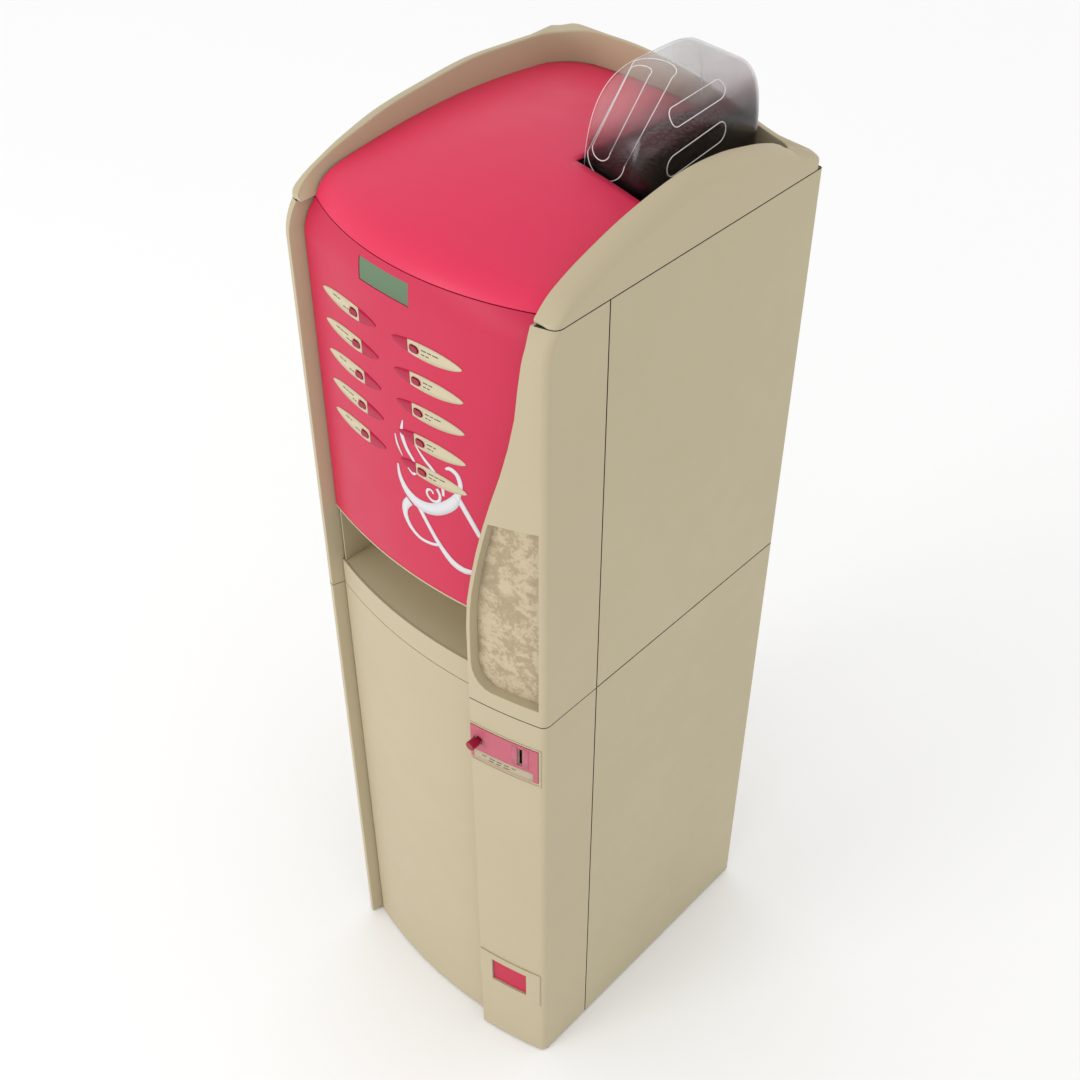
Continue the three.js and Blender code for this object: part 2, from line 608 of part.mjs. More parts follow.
/** Rounded corner between a side and the pillar front, tangent to both; side first. */
function cornerPoints(side, z, inset) {
  const x = WIDTH / 2 - CORNER_R;
  const reach = PILLAR_ARC_R - CORNER_R;
  const y = pillarY(0, z) + PILLAR_ARC_R - Math.sqrt(reach * reach - x * x);
  const r = CORNER_R - inset;
  return steps(0.06, 0.94, 4).map((t) => {
    const angle = t * Math.acos(x / reach);
    return [side * (x + r * Math.cos(angle)), y - r * Math.sin(angle)];
  });
}

/** Left pillar: a slim moulding whose inner face runs back to the door skin, with its side wrap. */
function leftPillarRing(z) {
  const inner = left + PILLAR_W;
  const nose = [left + PILLAR_FRONT_W, pillarY(left + PILLAR_FRONT_W, z)];
  return [
    [left, doorRear], ...cornerPoints(-1, z, 0), nose,
    [inner - 2, panelY(inner, z) + 1], [inner - 2, panelY(inner, z) + 16],
    [left + SKIN, panelY(inner, z) + 16], [left + SKIN, doorRear],
  ];
}

const COLUMN_LAP = 8;             // the return along a column's free edge runs this far behind the skin
/** Hollow column: front arc, rounded corner and side wrap, with a return along its free edge. */
function columnRing(z, edge) {
  const outerFront = steps(edge, right - CORNER_R - 2, 7).map((x) => [x, pillarY(x, z)]);
  const innerFront = steps(edge + SKIN, right - CORNER_R - 2, 7)
    .map((x) => [x, pillarY(x, z) + SKIN]);
  const back = panelY(edge, z) + SKIN + COLUMN_LAP;
  return [
    [edge, back], ...outerFront, ...cornerPoints(1, z, 0).reverse(),
    [right, doorRear], [right - SKIN, doorRear], ...cornerPoints(1, z, SKIN),
    ...innerFront.reverse(), [edge + SKIN, back],
  ];
}

/** The same column without its hollow, used to trim what is joined to it. */
function columnBlock(levels, edgeAt) {
  return stack(levels, (z) => [
    ...steps(edgeAt(z), right - CORNER_R - 2, 7).map((x) => [x, pillarY(x, z)]),
    ...cornerPoints(1, z, 0).reverse(), [right, doorRear], [edgeAt(z), doorRear]]);
}

/** Door skin: an arc in plan between two edges. */
function arcSkin(x0, x1, z0, z1, thickness = SKIN) {
  return stack([z0, z1], (z) => [
    ...steps(x0, x1, 16).map((x) => [x, panelY(x, z)]),
    ...steps(x1, x0, 16).map((x) => [x, panelY(x, z) + thickness])]);
}

// ---- Lower door ----------------------------------------------------------------------------------
const zUnderBase = (drop) => MID_SEAM_Z - drop;

function addLowerDoor() {
  const [z0, z1] = [FLOOR_CLEARANCE, baseTop];
  add('lower_left_pillar', stack([z0, z1], leftPillarRing).subtract(lockHole(LOWER_LOCK_Z)),
    paint(BEIGE, 0.5));
  add('lower_door_skin', arcSkin(pillarInner, columnLeft - CLEAR, z0, z1), paint(BEIGE, 0.5));
  const knobZ = zUnderBase(KNOB.drop);
  const column = stack([z0, z1], (z) => columnRing(z, columnLeft))
    .subtract(coinSlotCut())
    .subtract(rod([knobX, front - 118, knobZ], [knobX, front + 82, knobZ], KNOB.r - 3 + SLIDE_FIT))
    .subtract(box(returnWindow.x0 - RETURN_WALL - CLEAR - returnSlope * 2 * SKIN,
      returnWindow.x1 + RETURN_WALL + CLEAR, front - 118, front + 50,
      returnWindow.z0 - RETURN_WALL - CLEAR, returnWindow.z1 + FLAP_ROOM + RETURN_WALL + CLEAR));
  add('coin_column', column, paint(BEIGE, 0.5));
}

function coinSlotCut() {
  const { w, drop0, drop1 } = COIN_SLOT;
  return box(slotX - w / 2, slotX + w / 2, front - 118, front + 32, zUnderBase(drop1), zUnderBase(drop0));
}

/** A thin plate on the column's front: the band between two depths from its face. */
function frontPlate(plate, proud, z0, z1, depth = -CLEAR) {
  return stack([z0, z1], (z) => [
    ...steps(plate.x0, plate.x1, 8).map((x) => [x, pillarY(x, z) - proud]),
    ...steps(plate.x1, plate.x0, 8).map((x) => [x, pillarY(x, z) + depth])]);
}

function addCoinPieces() {
  const knobZ = zUnderBase(KNOB.drop);
  const faceY = pillarY(knobX, knobZ);
  const plate = frontPlate(coinPlate, 2.2, zUnderBase(coinPlate.drop1), zUnderBase(coinPlate.drop0))
    .subtract(coinSlotCut())
    .subtract(rod([knobX, front - 118, knobZ], [knobX, front + 82, knobZ], KNOB.r + SLIDE_FIT));
  add('coin_plate', plate, paint('#d87a8c', 0.35));
  const cap = rod([knobX, faceY - KNOB.proud, knobZ], [knobX, faceY - CLEAR - KNOB_TRAVEL - 1, knobZ],
    KNOB.r, 28);
  const stem = rod([knobX, faceY - KNOB_TRAVEL - 3, knobZ], [knobX, faceY + 18, knobZ], KNOB.r - 3, 20);
  add('coin_reject_button', cap.add(stem), paint(CRIMSON, 0.25));
  const y0 = pillarY(right - 16, 0) + SKIN + 12.2;
  const y1 = y0 + 83;
  const mech = box(columnLeft + 14, right - 16, y0, y1, zUnderBase(350), zUnderBase(60))
    .subtract(box(knobX - 14, knobX + 14, y0 - 10, y0 + 23, knobZ - 14, knobZ + 14))
    .subtract(box(slotX - 4, slotX + 4, y0 - 10, y1 - 15, zUnderBase(310), zUnderBase(58)));
  add('coin_mechanism', mech, paint(GREY, 0.5));
}

/** Coin return: a flange on the column's face with a cup behind its window, and a hinged flap. */
const returnSlope = (pillarY(returnWindow.x1, 0) - pillarY(returnWindow.x0, 0))
  / (returnWindow.x1 - returnWindow.x0);
const FLAP_SET_BACK = 1;
const FLAP_SHEET = 2.4;

function addCoinReturn() {
  const { x0, x1, z0, z1 } = returnWindow;
  const wall = RETURN_WALL;
  const arc = (from, to, depth) => steps(from, to, 8).map((x) => [x, pillarY(x, z0) + depth]);
  // The cup's sides lean over in plan, square to the slanting window, so the flap swings between them.
  const rearCorner = (x, reach) => {
    const y = pillarY(x0, z0) + reach;
    return [x - returnSlope * (y - pillarY(x, z0)), y];
  };
  const behind = (grow, depth, reach) => stack([z0 - grow, z1 + FLAP_ROOM + grow], () => [
    ...arc(x0 - grow, x1 + grow, depth), rearCorner(x1 + grow, reach), rearCorner(x0 - grow, reach)]);
  const flange = frontPlate(returnPlate, 2.4, returnPlate.z0, returnPlate.z1);
  const cup = behind(wall, -CLEAR * 2, RETURN_DEPTH)
    .subtract(behind(0, CLEAR / 2, RETURN_DEPTH - wall));
  const window = frontPlate(returnWindow, 20, z0, z1, FLAP_SET_BACK / 2);
  const back = pillarY(x0, z0) + RETURN_DEPTH;
  const feed = box(x0 + 2, x1 - 34, back - 40, back - 10, z1 + FLAP_ROOM - 1, z1 + FLAP_ROOM + 8);
  add('coin_return_cup', flange.add(cup).subtract(window).subtract(feed), paint(BEIGE, 0.5));
  const side = SLIDE_FIT + 0.3;
  const flapFace = (depth) => arc(
    x0 + side - returnSlope * depth, x1 - side - returnSlope * depth, depth);
  const flap = stack([z0 + 1.2, z1 + 4], () => [
    ...flapFace(FLAP_SET_BACK), ...flapFace(FLAP_SET_BACK + FLAP_SHEET).reverse()]);
  add('coin_return_flap', flap, paint(CRIMSON, 0.3));
}

// ---- Locks and hinge arms ------------------------------------------------------------------------
const LOCK_Y = doorRear - 26;
const LOCK_R = 9;
const UPPER_LOCK_Z = MID_SEAM_Z + 340;
const LOWER_LOCK_Z = MID_SEAM_Z - 350;
const lockHole = (z) => rod([left - 5, LOCK_Y, z], [left + 10, LOCK_Y, z], LOCK_R + 0.6, 28);

function addLock(name, z) {
  const barrel = rod([left - 1.5, LOCK_Y, z], [left + 24, LOCK_Y, z], LOCK_R, 28);
  const keyway = box(left - 3, left + 12, LOCK_Y - 0.8, LOCK_Y + 0.8, z - 4.5, z + 4.5);
  const cam = box(left + 20, left + 23, LOCK_Y - 8, doorRear + 14, z - 8, z + 8);
  add(name, barrel.add(cam).subtract(keyway), paint(STEEL, 0.25, 1));
}

/** Concealed hinge: its arm is fixed inside the door's side wrap and reaches into the cabinet. */
function addHingeArm(name, z) {
  const x1 = right - SKIN - CLEAR;
  const arm = box(x1 - 4, x1, doorRear - 70, doorRear - 6, z - 14, z + 14);
  const bend = prismUp([
    [x1 - 4, doorRear - 14], [x1, doorRear - 14], [x1, doorRear - 6], [x1 - 8, doorRear + 4],
    [x1 - 8, doorRear + 26], [x1 - 12, doorRear + 26], [x1 - 12, doorRear + 2]], z - 10, z + 10);
  add(name, arm.add(bend), paint(STEEL, 0.35, 1));
}

// ---- Upper door ----------------------------------------------------------------------------------
const unitLevels = [unitFoot, ...LEAN_LEVELS, unitTop];
const columnLevels = [
  unitFoot, ...steps(unitFoot + 50, TOP_SEAM_Z - LEAN_HEIGHT - 35, 11), ...LEAN_LEVELS, unitTop];

/** Front outline of the inlay's recess, following the column's swelling edge. */
function recessOutline(inset) {
  const [foot, head] = [MID_SEAM_Z + 33, MID_SEAM_Z + 379];
  const edge = (z) => columnEdge(z) + 6 + inset;
  const leftSide = steps(head - 12, foot + 46, 8).map((z) => [edge(z), z]);
  const round = steps(0.2, 1, 4).map((t) => {
    const angle = (t * Math.PI) / 2;
    return [edge(foot + 46) + 34 * (1 - Math.cos(angle)), foot + 46 - (46 - inset) * Math.sin(angle)];
  });
  return [
    [right - 11 - inset, head - inset], ...leftSide, ...round, [right - 11 - inset, foot + inset]];
}

function addServiceColumn() {
  const block = columnBlock(columnLevels, columnEdge);
  const shell = stack(columnLevels, (z) => columnRing(z, columnEdge(z)));
  const boss = prismBack(recessOutline(-SKIN), front - 60, front + 14).intersect(block);
  const recess = prismBack(recessOutline(0), front - 60, front + 60);
  add('service_column', shell.add(boss).subtract(recess), paint(BEIGE, 0.5));
  const band = stack([unitFoot, unitTop], () => [
    ...steps(columnLeft - 10, right, 10).map((x) => [x, pillarY(x, 0) + INLAY_DEPTH]),
    ...steps(right, columnLeft - 10, 10).map((x) => [x, pillarY(x, 0) + INLAY_DEPTH + INLAY_SHEET])]);
  add('column_inlay', prismBack(recessOutline(CLEAR), front - 60, front + 60).intersect(band),
    paint('#b9a885', 0.4));
}

function buttonPlaces() {
  const places = [];
  BUTTON_COLUMNS.forEach((x) => {
    for (let row = 0; row < BUTTON_ROWS; row += 1) {
      places.push([x, TOP_SEAM_Z - TOP_BUTTON_DROP - row * BUTTON_PITCH]);
    }
  });
  return places;
}

/** Oval front outline of a button, grown by a clearance. */
function buttonOutline(x, z, grow) {
  const r = BUTTON_H / 2 + grow;
  const flat = (BUTTON_W - BUTTON_H) / 2;
  return steps(0, 2 * Math.PI, 20).slice(1).map((angle) => [
    x + Math.sign(Math.cos(angle)) * flat + r * Math.cos(angle), z + r * Math.sin(angle)]);
}

/** Selection panel: the curved front of the drinks unit, cut along the column's edge. */
function addSelectionPanel() {
  const levels = [...steps(bayTop + 1, TOP_SEAM_Z - LEAN_HEIGHT - 50, 3), ...LEAN_LEVELS, unitTop];
  const columns = steps(pillarInner, right - 37, 22);
  const rings = columns.map((x) => [
    ...levels.map((z) => [x, panelY(x, z), z]),
    ...levels.slice().reverse().map((z) => [x, panelY(x, z) + SKIN, z])]);
  const edge = [...columnLevels.filter((z) => z > bayFoot), unitTop + 5]
    .map((z) => [columnEdge(z) - CLEAR, z]);
  const trim = prismBack([[left, edge[0][1]], ...edge, [left, unitTop + 5]], front - 60, front + 80);
  let panel = loft(rings, fromSide).intersect(trim).subtract(displayCut(0));
  for (const [x, z] of buttonPlaces()) {
    panel = panel.subtract(prismBack(buttonOutline(x, z, SLIDE_FIT), front - 60, front + 60));
  }
  add('selection_panel', panel, paint(PINK, 0.3));
}

function displayCut(inset) {
  const z1 = TOP_SEAM_Z - DISPLAY.drop + DISPLAY.height - inset;
  const z0 = TOP_SEAM_Z - DISPLAY.drop + inset;
  return box(DISPLAY.x0 + inset, DISPLAY.x1 - inset, front - 60, front + 60, z0, z1);
}

function addDisplay() {
  const levels = steps(TOP_SEAM_Z - DISPLAY.drop, TOP_SEAM_Z - DISPLAY.drop + DISPLAY.height, 4);
  const body = stack(levels, (z) => [
    ...steps(DISPLAY.x0, DISPLAY.x1, 6).map((x) => [x, panelY(x, z) + 0.8]),
    ...steps(DISPLAY.x1, DISPLAY.x0, 6).map((x) => [x, panelY(x, z) + 3.3])]);
  add('display_window', body.intersect(displayCut(CLEAR)), paint('#6f9370', 0.2));
  const board = box(-150, 90, front + 14, front + 17, TOP_SEAM_Z - 338, TOP_SEAM_Z - 13);
  add('control_board', board, paint('#2f5d3a', 0.5));
}

function addButtons() {
  buttonPlaces().forEach(([x, z], i) => {
    const face = panelY(x, z);
    const stem = prismBack(buttonOutline(x, z, 0), face - BUTTON_PROUD, face + BUTTON_DEPTH);
    const head = prismBack(buttonOutline(x, z, 2), face + SKIN + 3, face + SKIN + 5);
    add(`select_button_${i + 1}`, stem.add(head), paint(CRIMSON, 0.3));
  });
}

const BAY_WALL = 2.5;
const SPOUT_X = -50;
const bayRight = columnLeft - CLEAR - 1;
/** Cup bay: a five-sided liner behind the opening, open towards the front. */
function addCupBay() {
  const [x0, x1] = [pillarInner + 3, bayRight];
  const [y0, y1] = [front + 2 - DOOR_BULGE, front - DOOR_BULGE + BAY_DEPTH];
  const behindSkin = stack([unitFoot, bayTop + 60], (z) => [
    ...steps(x0 - 5, x1 + 5, 16).map((x) => [x, panelY(x, z) + SKIN + CLEAR]),
    [x1 + 5, doorRear], [x0 - 5, doorRear]]);
  const block = box(x0, x1, y0, y1, bayFoot - 12, bayTop + 24).intersect(behindSkin);
  const space = box(x0 + BAY_WALL, x1 - BAY_WALL, y0 - 30, y1 - BAY_WALL, bayFoot - 9, bayTop + 21);
  const spoutHole = box(SPOUT_X - 28, SPOUT_X + 28, front + 20, front + 64, bayTop + 10, bayTop + 30);
  add('cup_bay', block.subtract(space).subtract(spoutHole), paint(BEIGE, 0.55));
}

/** Cup tray: a plain lift-out plate over the bay's floor, with drain slots along its rear edge. */
const TRAY_MARGIN = 3;
function addCupTray() {
  const inset = BAY_WALL + TRAY_MARGIN;
  const [x0, x1] = [pillarInner + 3 + inset, bayRight - inset];
  const [y0, y1] = [front - DOOR_BULGE, front - DOOR_BULGE + BAY_DEPTH - inset];
  const z0 = bayFoot - 9 + CLEAR;
  const behindSill = stack([z0, bayFoot - 1], (z) => [
    ...steps(x0, x1, 16).map((x) => [x, panelY(x, z) + SKIN + TRAY_MARGIN]), [x1, y1], [x0, y1]]);
  let tray = box(x0, x1, y0, y1, z0, bayFoot - 1).intersect(behindSill);
  for (const x of steps(SPOUT_X - 60, SPOUT_X + 60, 8)) {
    tray = tray.subtract(box(x - 4, x + 4, y1 - 18, y1 - 8, z0 - 1, bayFoot));
  }
  add('cup_tray', tray, paint(BEIGE, 0.5));
}

function addNozzle() {
  const [x, y] = [SPOUT_X, front + 42];
  const body = rod([x, y, bayTop - 6], [x, y, bayTop + 60], 11, 24, 20);
  const tipA = rod([x - 6, y, bayTop - 18], [x - 6, y, bayTop - 4], 4, 14);
  const tipB = rod([x + 6, y, bayTop - 18], [x + 6, y, bayTop - 4], 4, 14);
  add('dispensing_nozzle', body.add(tipA).add(tipB), paint(DARK, 0.35));
}

function addUpperDoor() {
  const pillar = stack(unitLevels, leftPillarRing).subtract(lockHole(UPPER_LOCK_Z));
  add('upper_left_pillar', pillar, paint(BEIGE, 0.5));
  add('bay_sill', arcSkin(pillarInner, columnLeft - CLEAR, unitFoot, bayFoot), paint(BEIGE, 0.5));
  addServiceColumn();
  addSelectionPanel();
  addDisplay();
  addButtons();
  addCupBay();
  addCupTray();
  addNozzle();
}

// ---- Build ---------------------------------------------------------------------------------------
addFeet();
addBox('base', FLOOR_CLEARANCE, baseTop, [
  ['base_plate', BASE_PLATE_Z, BASE_PLATE_Z + SHEET],
  ['base_top_plate', baseTop - SHEET, baseTop],
]);
addBox('unit', unitFoot, unitTop, [
  ['unit_floor_plate', unitFoot, unitFoot + SHEET],
  ['unit_top_plate', deckTop - SHEET, deckTop,
    tubPrism(SLIDE_FIT, deckTop - 20, deckTop + 20)],
]);
addPowerInlet();
addWaterTank();
addWasteBucket();
addCrown();
addTopCover();
addHopper();
addHopperTub();
addBrewUnit(addGrinder());
addCanisters();
addBoiler();
addLowerDoor();
addCoinPieces();
addCoinReturn();
addUpperDoor();
addLock('upper_door_lock', UPPER_LOCK_Z);
addLock('lower_door_lock', LOWER_LOCK_Z);
addHingeArm('upper_hinge_arm_top', unitTop - 120);
addHingeArm('upper_hinge_arm_bottom', unitFoot + 120);
addHingeArm('lower_hinge_arm_top', baseTop - 120);
addHingeArm('lower_hinge_arm_bottom', FLOOR_CLEARANCE + 120);

export default machine;
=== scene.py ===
"""Looks of a free-standing hot drinks vending machine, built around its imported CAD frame.

Every length is in metres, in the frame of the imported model: +X right, +Y back, +Z up.
"""
import json
import math

import bmesh
import bpy
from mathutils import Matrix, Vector


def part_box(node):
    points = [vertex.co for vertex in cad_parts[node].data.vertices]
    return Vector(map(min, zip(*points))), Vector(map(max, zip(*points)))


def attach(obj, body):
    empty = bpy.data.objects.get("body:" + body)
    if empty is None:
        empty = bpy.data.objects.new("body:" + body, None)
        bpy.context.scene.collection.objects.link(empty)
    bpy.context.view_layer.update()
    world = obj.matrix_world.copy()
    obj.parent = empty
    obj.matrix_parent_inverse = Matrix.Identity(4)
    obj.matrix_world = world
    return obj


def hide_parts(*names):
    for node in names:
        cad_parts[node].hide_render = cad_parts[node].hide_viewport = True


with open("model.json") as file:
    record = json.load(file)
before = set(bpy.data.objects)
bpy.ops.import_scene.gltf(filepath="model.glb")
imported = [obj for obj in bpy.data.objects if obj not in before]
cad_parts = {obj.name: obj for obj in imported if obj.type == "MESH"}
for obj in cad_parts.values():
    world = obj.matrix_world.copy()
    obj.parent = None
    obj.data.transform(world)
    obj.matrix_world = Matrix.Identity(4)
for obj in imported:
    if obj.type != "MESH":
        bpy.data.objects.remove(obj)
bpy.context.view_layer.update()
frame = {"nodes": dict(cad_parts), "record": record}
MM = 0.001

# ---- Places read from the frame -------------------------------------------------------------------
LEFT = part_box("unit_left_panel")[0].x
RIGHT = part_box("unit_right_panel")[1].x
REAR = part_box("unit_rear_panel")[1].y
DEPTH = 563.5 * MM
FRONT = REAR - DEPTH
MID_SEAM = (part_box("base_left_panel")[1].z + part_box("unit_left_panel")[0].z) / 2
TOP_SEAM = (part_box("unit_left_panel")[1].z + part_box("crown")[0].z) / 2
CROWN_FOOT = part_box("crown")[0].z
COLUMN_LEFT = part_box("coin_column")[0].x
PANEL_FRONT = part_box("unit_left_panel")[0].y
PILLAR_INNER = LEFT + 26 * MM
MID_Y = (FRONT + REAR) / 2       # y of the body box's middle, where the CAD curves have their zero

DOOR_ARC = (766 * MM, 12.75 * MM)
PILLAR_ARC = (787 * MM, 34.25 * MM)
TOP_ARC = (470 * MM, 8.75 * MM)
LEAN_HEIGHT = 48 * MM
PILLAR_LEAN = 19 * MM
RIM_LEFT = 27 * MM
RIM_RIGHT = 35 * MM
RIM_REAR = 20 * MM
COLUMN_W = 129 * MM
CORNER_R = 14 * MM


# ---- Curves that the CAD follows -------------------------------------------------------------------
def mix(a, b, t):
    return a + (b - a) * t


def smoothstep(t):
    t = min(max(t, 0.0), 1.0)
    return t * t * (3 - 2 * t)


def spread(a, b, count):
    return [mix(a, b, i / count) for i in range(count + 1)]


def front_arc(x, arc):
    radius, bulge = arc
    return FRONT - bulge + radius - math.sqrt(radius * radius - x * x)


def lean_at(z):
    return max(0.0, (z - (TOP_SEAM - LEAN_HEIGHT)) / LEAN_HEIGHT) ** 2


def panel_y(x, z):
    """Front face of the selection panel and the door skins."""
    return mix(front_arc(x, DOOR_ARC), front_arc(x, TOP_ARC), lean_at(z))


def pillar_y(x, z):
    """Front face of the pillars and columns."""
    return front_arc(x, PILLAR_ARC) + PILLAR_LEAN * lean_at(z)


def curve_through(pairs):
    """Smooth curve through (key, value) pairs in millimetres; takes and gives metres."""
    def slope(i):
        a = pairs[max(i - 1, 0)]
        b = pairs[min(i + 1, len(pairs) - 1)]
        return (b[1] - a[1]) / (b[0] - a[0])

    def at(key):
        k = min(max(key / MM, pairs[0][0]), pairs[-1][0])
        i = next((n for n in range(len(pairs) - 1) if pairs[n + 1][0] > k), len(pairs) - 2)
        span = pairs[i + 1][0] - pairs[i][0]
        t = (k - pairs[i][0]) / span
        h = t * t * (3 - 2 * t)
        bend = slope(i) * span * t * (1 - t) ** 2 - slope(i + 1) * span * t * t * (1 - t)
        return (pairs[i][1] * (1 - h) + pairs[i + 1][1] * h + bend) * MM
    return at


swell_at = curve_through([
    (0, 0), (25, -40), (71, 20), (134, 90), (202, 234), (250, 372), (299, 527),
    (370, 723), (443, 883), (486, 957), (540, 995), (592, 1000), (911, 1000)])


def column_edge(z):
    """Free edge of the service column at a height."""
    return RIGHT - mix(RIM_RIGHT, COLUMN_W, swell_at(TOP_SEAM - z))


crest_left = curve_through([
    (-266, 2), (-259, 11), (-239, 28), (-211, 43), (-174, 58), (-108, 76), (-13, 86), (66, 91),
    (148, 86), (233, 79), (282, 74)])
crest_right = curve_through([
    (-266, 4), (-244, 25), (-218, 39), (-182, 53), (-110, 74), (-34, 88), (20, 92), (87, 86),
    (131, 76), (176, 63), (219, 46), (282, 24)])
crest_rear = curve_through([
    (-240, 75), (-200, 80), (-160, 84), (-100, 88), (-60, 87), (0, 79), (60, 66), (150, 33), (240, 11)])
REAR_BLEND = 75 * MM


def crest_z(x, y):
    """Height of the crown's crest."""
    across = mix(crest_left(y - MID_Y), crest_right(y - MID_Y), x / (RIGHT - LEFT) + 0.5)
    to_rear = smoothstep((y - (REAR - REAR_BLEND)) / REAR_BLEND)
    return TOP_SEAM + mix(across, crest_rear(x), to_rear)


def lid_z(x, y):
    """Upper face of the top cover."""
    back = max(0.0, y - front_arc(x, TOP_ARC))
    rise = 26 * MM * (1 - math.exp(-back / (14 * MM)))
    arch = 22 * MM * math.sin(math.pi * back / (500 * MM))
    u = x / (RIGHT - RIM_LEFT)
    dome = 25 * MM * (1 - u * u) - 23 * MM * (1 + u) / 2
    return CROWN_FOOT + rise + arch + dome * (1 - math.exp(-back / (60 * MM)))


# ---- Material kit -----------------------------------------------------------------------------------
def linear(rgb):
    """Linear colour of an sRGB colour given 0 to 255."""
    def channel(v):
        v = v / 255
        return v / 12.92 if v <= 0.04045 else ((v + 0.055) / 1.055) ** 2.4
    return tuple(channel(v) for v in rgb) + (1.0,)


def scaled(colour, factor):
    return tuple(min(1.0, c * factor) for c in colour[:3]) + (1.0,)


class Graph:
    """A node graph that ends in one Principled shader; coordinates are the piece's own, in metres."""

    def __init__(self, name, roughness, metallic=0.0, coat=0.0, specular=0.25):
        self.material = bpy.data.materials.new(name)
        self.material.use_nodes = True
        self.tree = self.material.node_tree
        self.shader = self.tree.nodes["Principled BSDF"]
        self.shader.inputs["Roughness"].default_value = roughness
        self.shader.inputs["Metallic"].default_value = metallic
        self.shader.inputs["Coat Weight"].default_value = coat
        self.shader.inputs["Specular IOR Level"].default_value = specular
        self.shader.inputs["Coat Roughness"].default_value = 0.12
        self.place = self.tree.nodes.new("ShaderNodeTexCoord").outputs["Object"]

    def node(self, kind, **settings):
        made = self.tree.nodes.new(kind)
        for key, value in settings.items():
            setattr(made, key, value)
        return made

    def link(self, output, target):
        self.tree.links.new(output, target)

    def noise(self, scale, detail=3.0, distortion=0.0, stretch=None):
        made = self.node("ShaderNodeTexNoise")
        made.inputs["Scale"].default_value = scale
        made.inputs["Detail"].default_value = detail
        made.inputs["Distortion"].default_value = distortion
        place = self.place
        if stretch:
            mapping = self.node("ShaderNodeMapping")
            mapping.inputs["Scale"].default_value = stretch
            self.link(self.place, mapping.inputs["Vector"])
            place = mapping.outputs["Vector"]
        self.link(place, made.inputs["Vector"])
        return made.outputs["Fac"]

    def cells(self, scale, feature="F1", output="Distance"):
        made = self.node("ShaderNodeTexVoronoi", feature=feature)
        made.inputs["Scale"].default_value = scale
        self.link(self.place, made.inputs["Vector"])
        return made.outputs[output]

    def height(self, low, high):
        """0 at one height of the rest model and 1 at another."""
        parts = self.node("ShaderNodeSeparateXYZ")
        self.link(self.place, parts.inputs["Vector"])
        return self.ranged(parts.outputs["Z"], low, high, 0.0, 1.0)

    def ranged(self, value, low, high, out_low, out_high):
        made = self.node("ShaderNodeMapRange")
        for key, number in zip(("From Min", "From Max", "To Min", "To Max"), (low, high, out_low, out_high)):
            made.inputs[key].default_value = number
        self.link(value, made.inputs["Value"])
        return made.outputs["Result"]

    def ramp(self, value, stops):
        made = self.node("ShaderNodeValToRGB")
        elements = made.color_ramp.elements
        while len(elements) < len(stops):
            elements.new(0.5)
        for element, (position, colour) in zip(elements, stops):
            element.position = position
            element.color = colour
        self.link(value, made.inputs["Fac"])
        return made.outputs["Color"]

    def blend(self, factor, a, b):
        made = self.node("ShaderNodeMix", data_type="RGBA")
        for socket, value in ((made.inputs[0], factor), (made.inputs[6], a), (made.inputs[7], b)):
            if hasattr(value, "links"):
                self.link(value, socket)
            else:
                socket.default_value = value
        return made.outputs[2]

    def colour(self, output):
        self.link(output, self.shader.inputs["Base Color"])

    def roughness(self, value, low, high):
        self.link(self.ranged(value, 0.3, 0.7, low, high), self.shader.inputs["Roughness"])

    def bump(self, value, distance, strength=1.0):
        made = self.node("ShaderNodeBump")
        made.inputs["Strength"].default_value = strength
        made.inputs["Distance"].default_value = distance
        previous = self.shader.inputs["Normal"].links
        if previous:
            self.link(previous[0].from_socket, made.inputs["Normal"])
        self.link(value, made.inputs["Height"])
        self.link(made.outputs["Normal"], self.shader.inputs["Normal"])


def moulded(name, rgb, roughness, coat=0.0, variation=0.02, grain=0.03 * MM):
    """Moulded or painted surface: slow colour drift, a fine grain and a slightly uneven gloss."""
    graph = Graph(name, roughness, coat=coat)
    base = linear(rgb)
    drift = graph.noise(3.2, 4.0)
    speck = graph.noise(240.0, 2.0)
    toned = graph.ramp(drift, [(0.3, scaled(base, 1 - variation)), (0.7, scaled(base, 1 + variation))])
    graph.colour(graph.blend(graph.ranged(speck, 0.35, 0.75, 0.0, 0.06), toned, scaled(base, 0.85)))
    graph.roughness(graph.noise(14.0, 3.0), roughness - 0.04, roughness + 0.05)
    graph.bump(graph.noise(620.0, 2.0), grain)
    graph.bump(graph.noise(5.0, 1.0), 0.12 * MM)
    return graph.material


def painted_steel(name, rgb):
    """Powder-coated sheet: orange peel and a faint drift."""
    graph = Graph(name, 0.48)
    base = linear(rgb)
    graph.colour(graph.ramp(graph.noise(2.4, 4.0), [(0.3, scaled(base, 0.97)), (0.7, scaled(base, 1.03))]))
    graph.roughness(graph.noise(20.0), 0.43, 0.55)
    graph.bump(graph.noise(330.0, 2.0), 0.04 * MM)
    graph.bump(graph.noise(3.0, 1.0), 0.3 * MM)
    return graph.material


def bare_metal(name, rgb, roughness, stretch=None, spangle=0.0):
    graph = Graph(name, roughness, metallic=1.0)
    base = linear(rgb)
    if spangle:
        cells = graph.cells(spangle, output="Color")
        grey = graph.node("ShaderNodeRGBToBW")
        graph.link(cells, grey.inputs["Color"])
        tone = grey.outputs["Val"]
    else:
        tone = graph.noise(180.0, 3.0, stretch=stretch)
    graph.colour(graph.ramp(tone, [(0.2, scaled(base, 0.82)), (0.8, scaled(base, 1.08))]))
    graph.roughness(tone, roughness - 0.06, roughness + 0.12)
    graph.bump(graph.noise(400.0, 2.0, stretch=stretch), 0.03 * MM)
    return graph.material


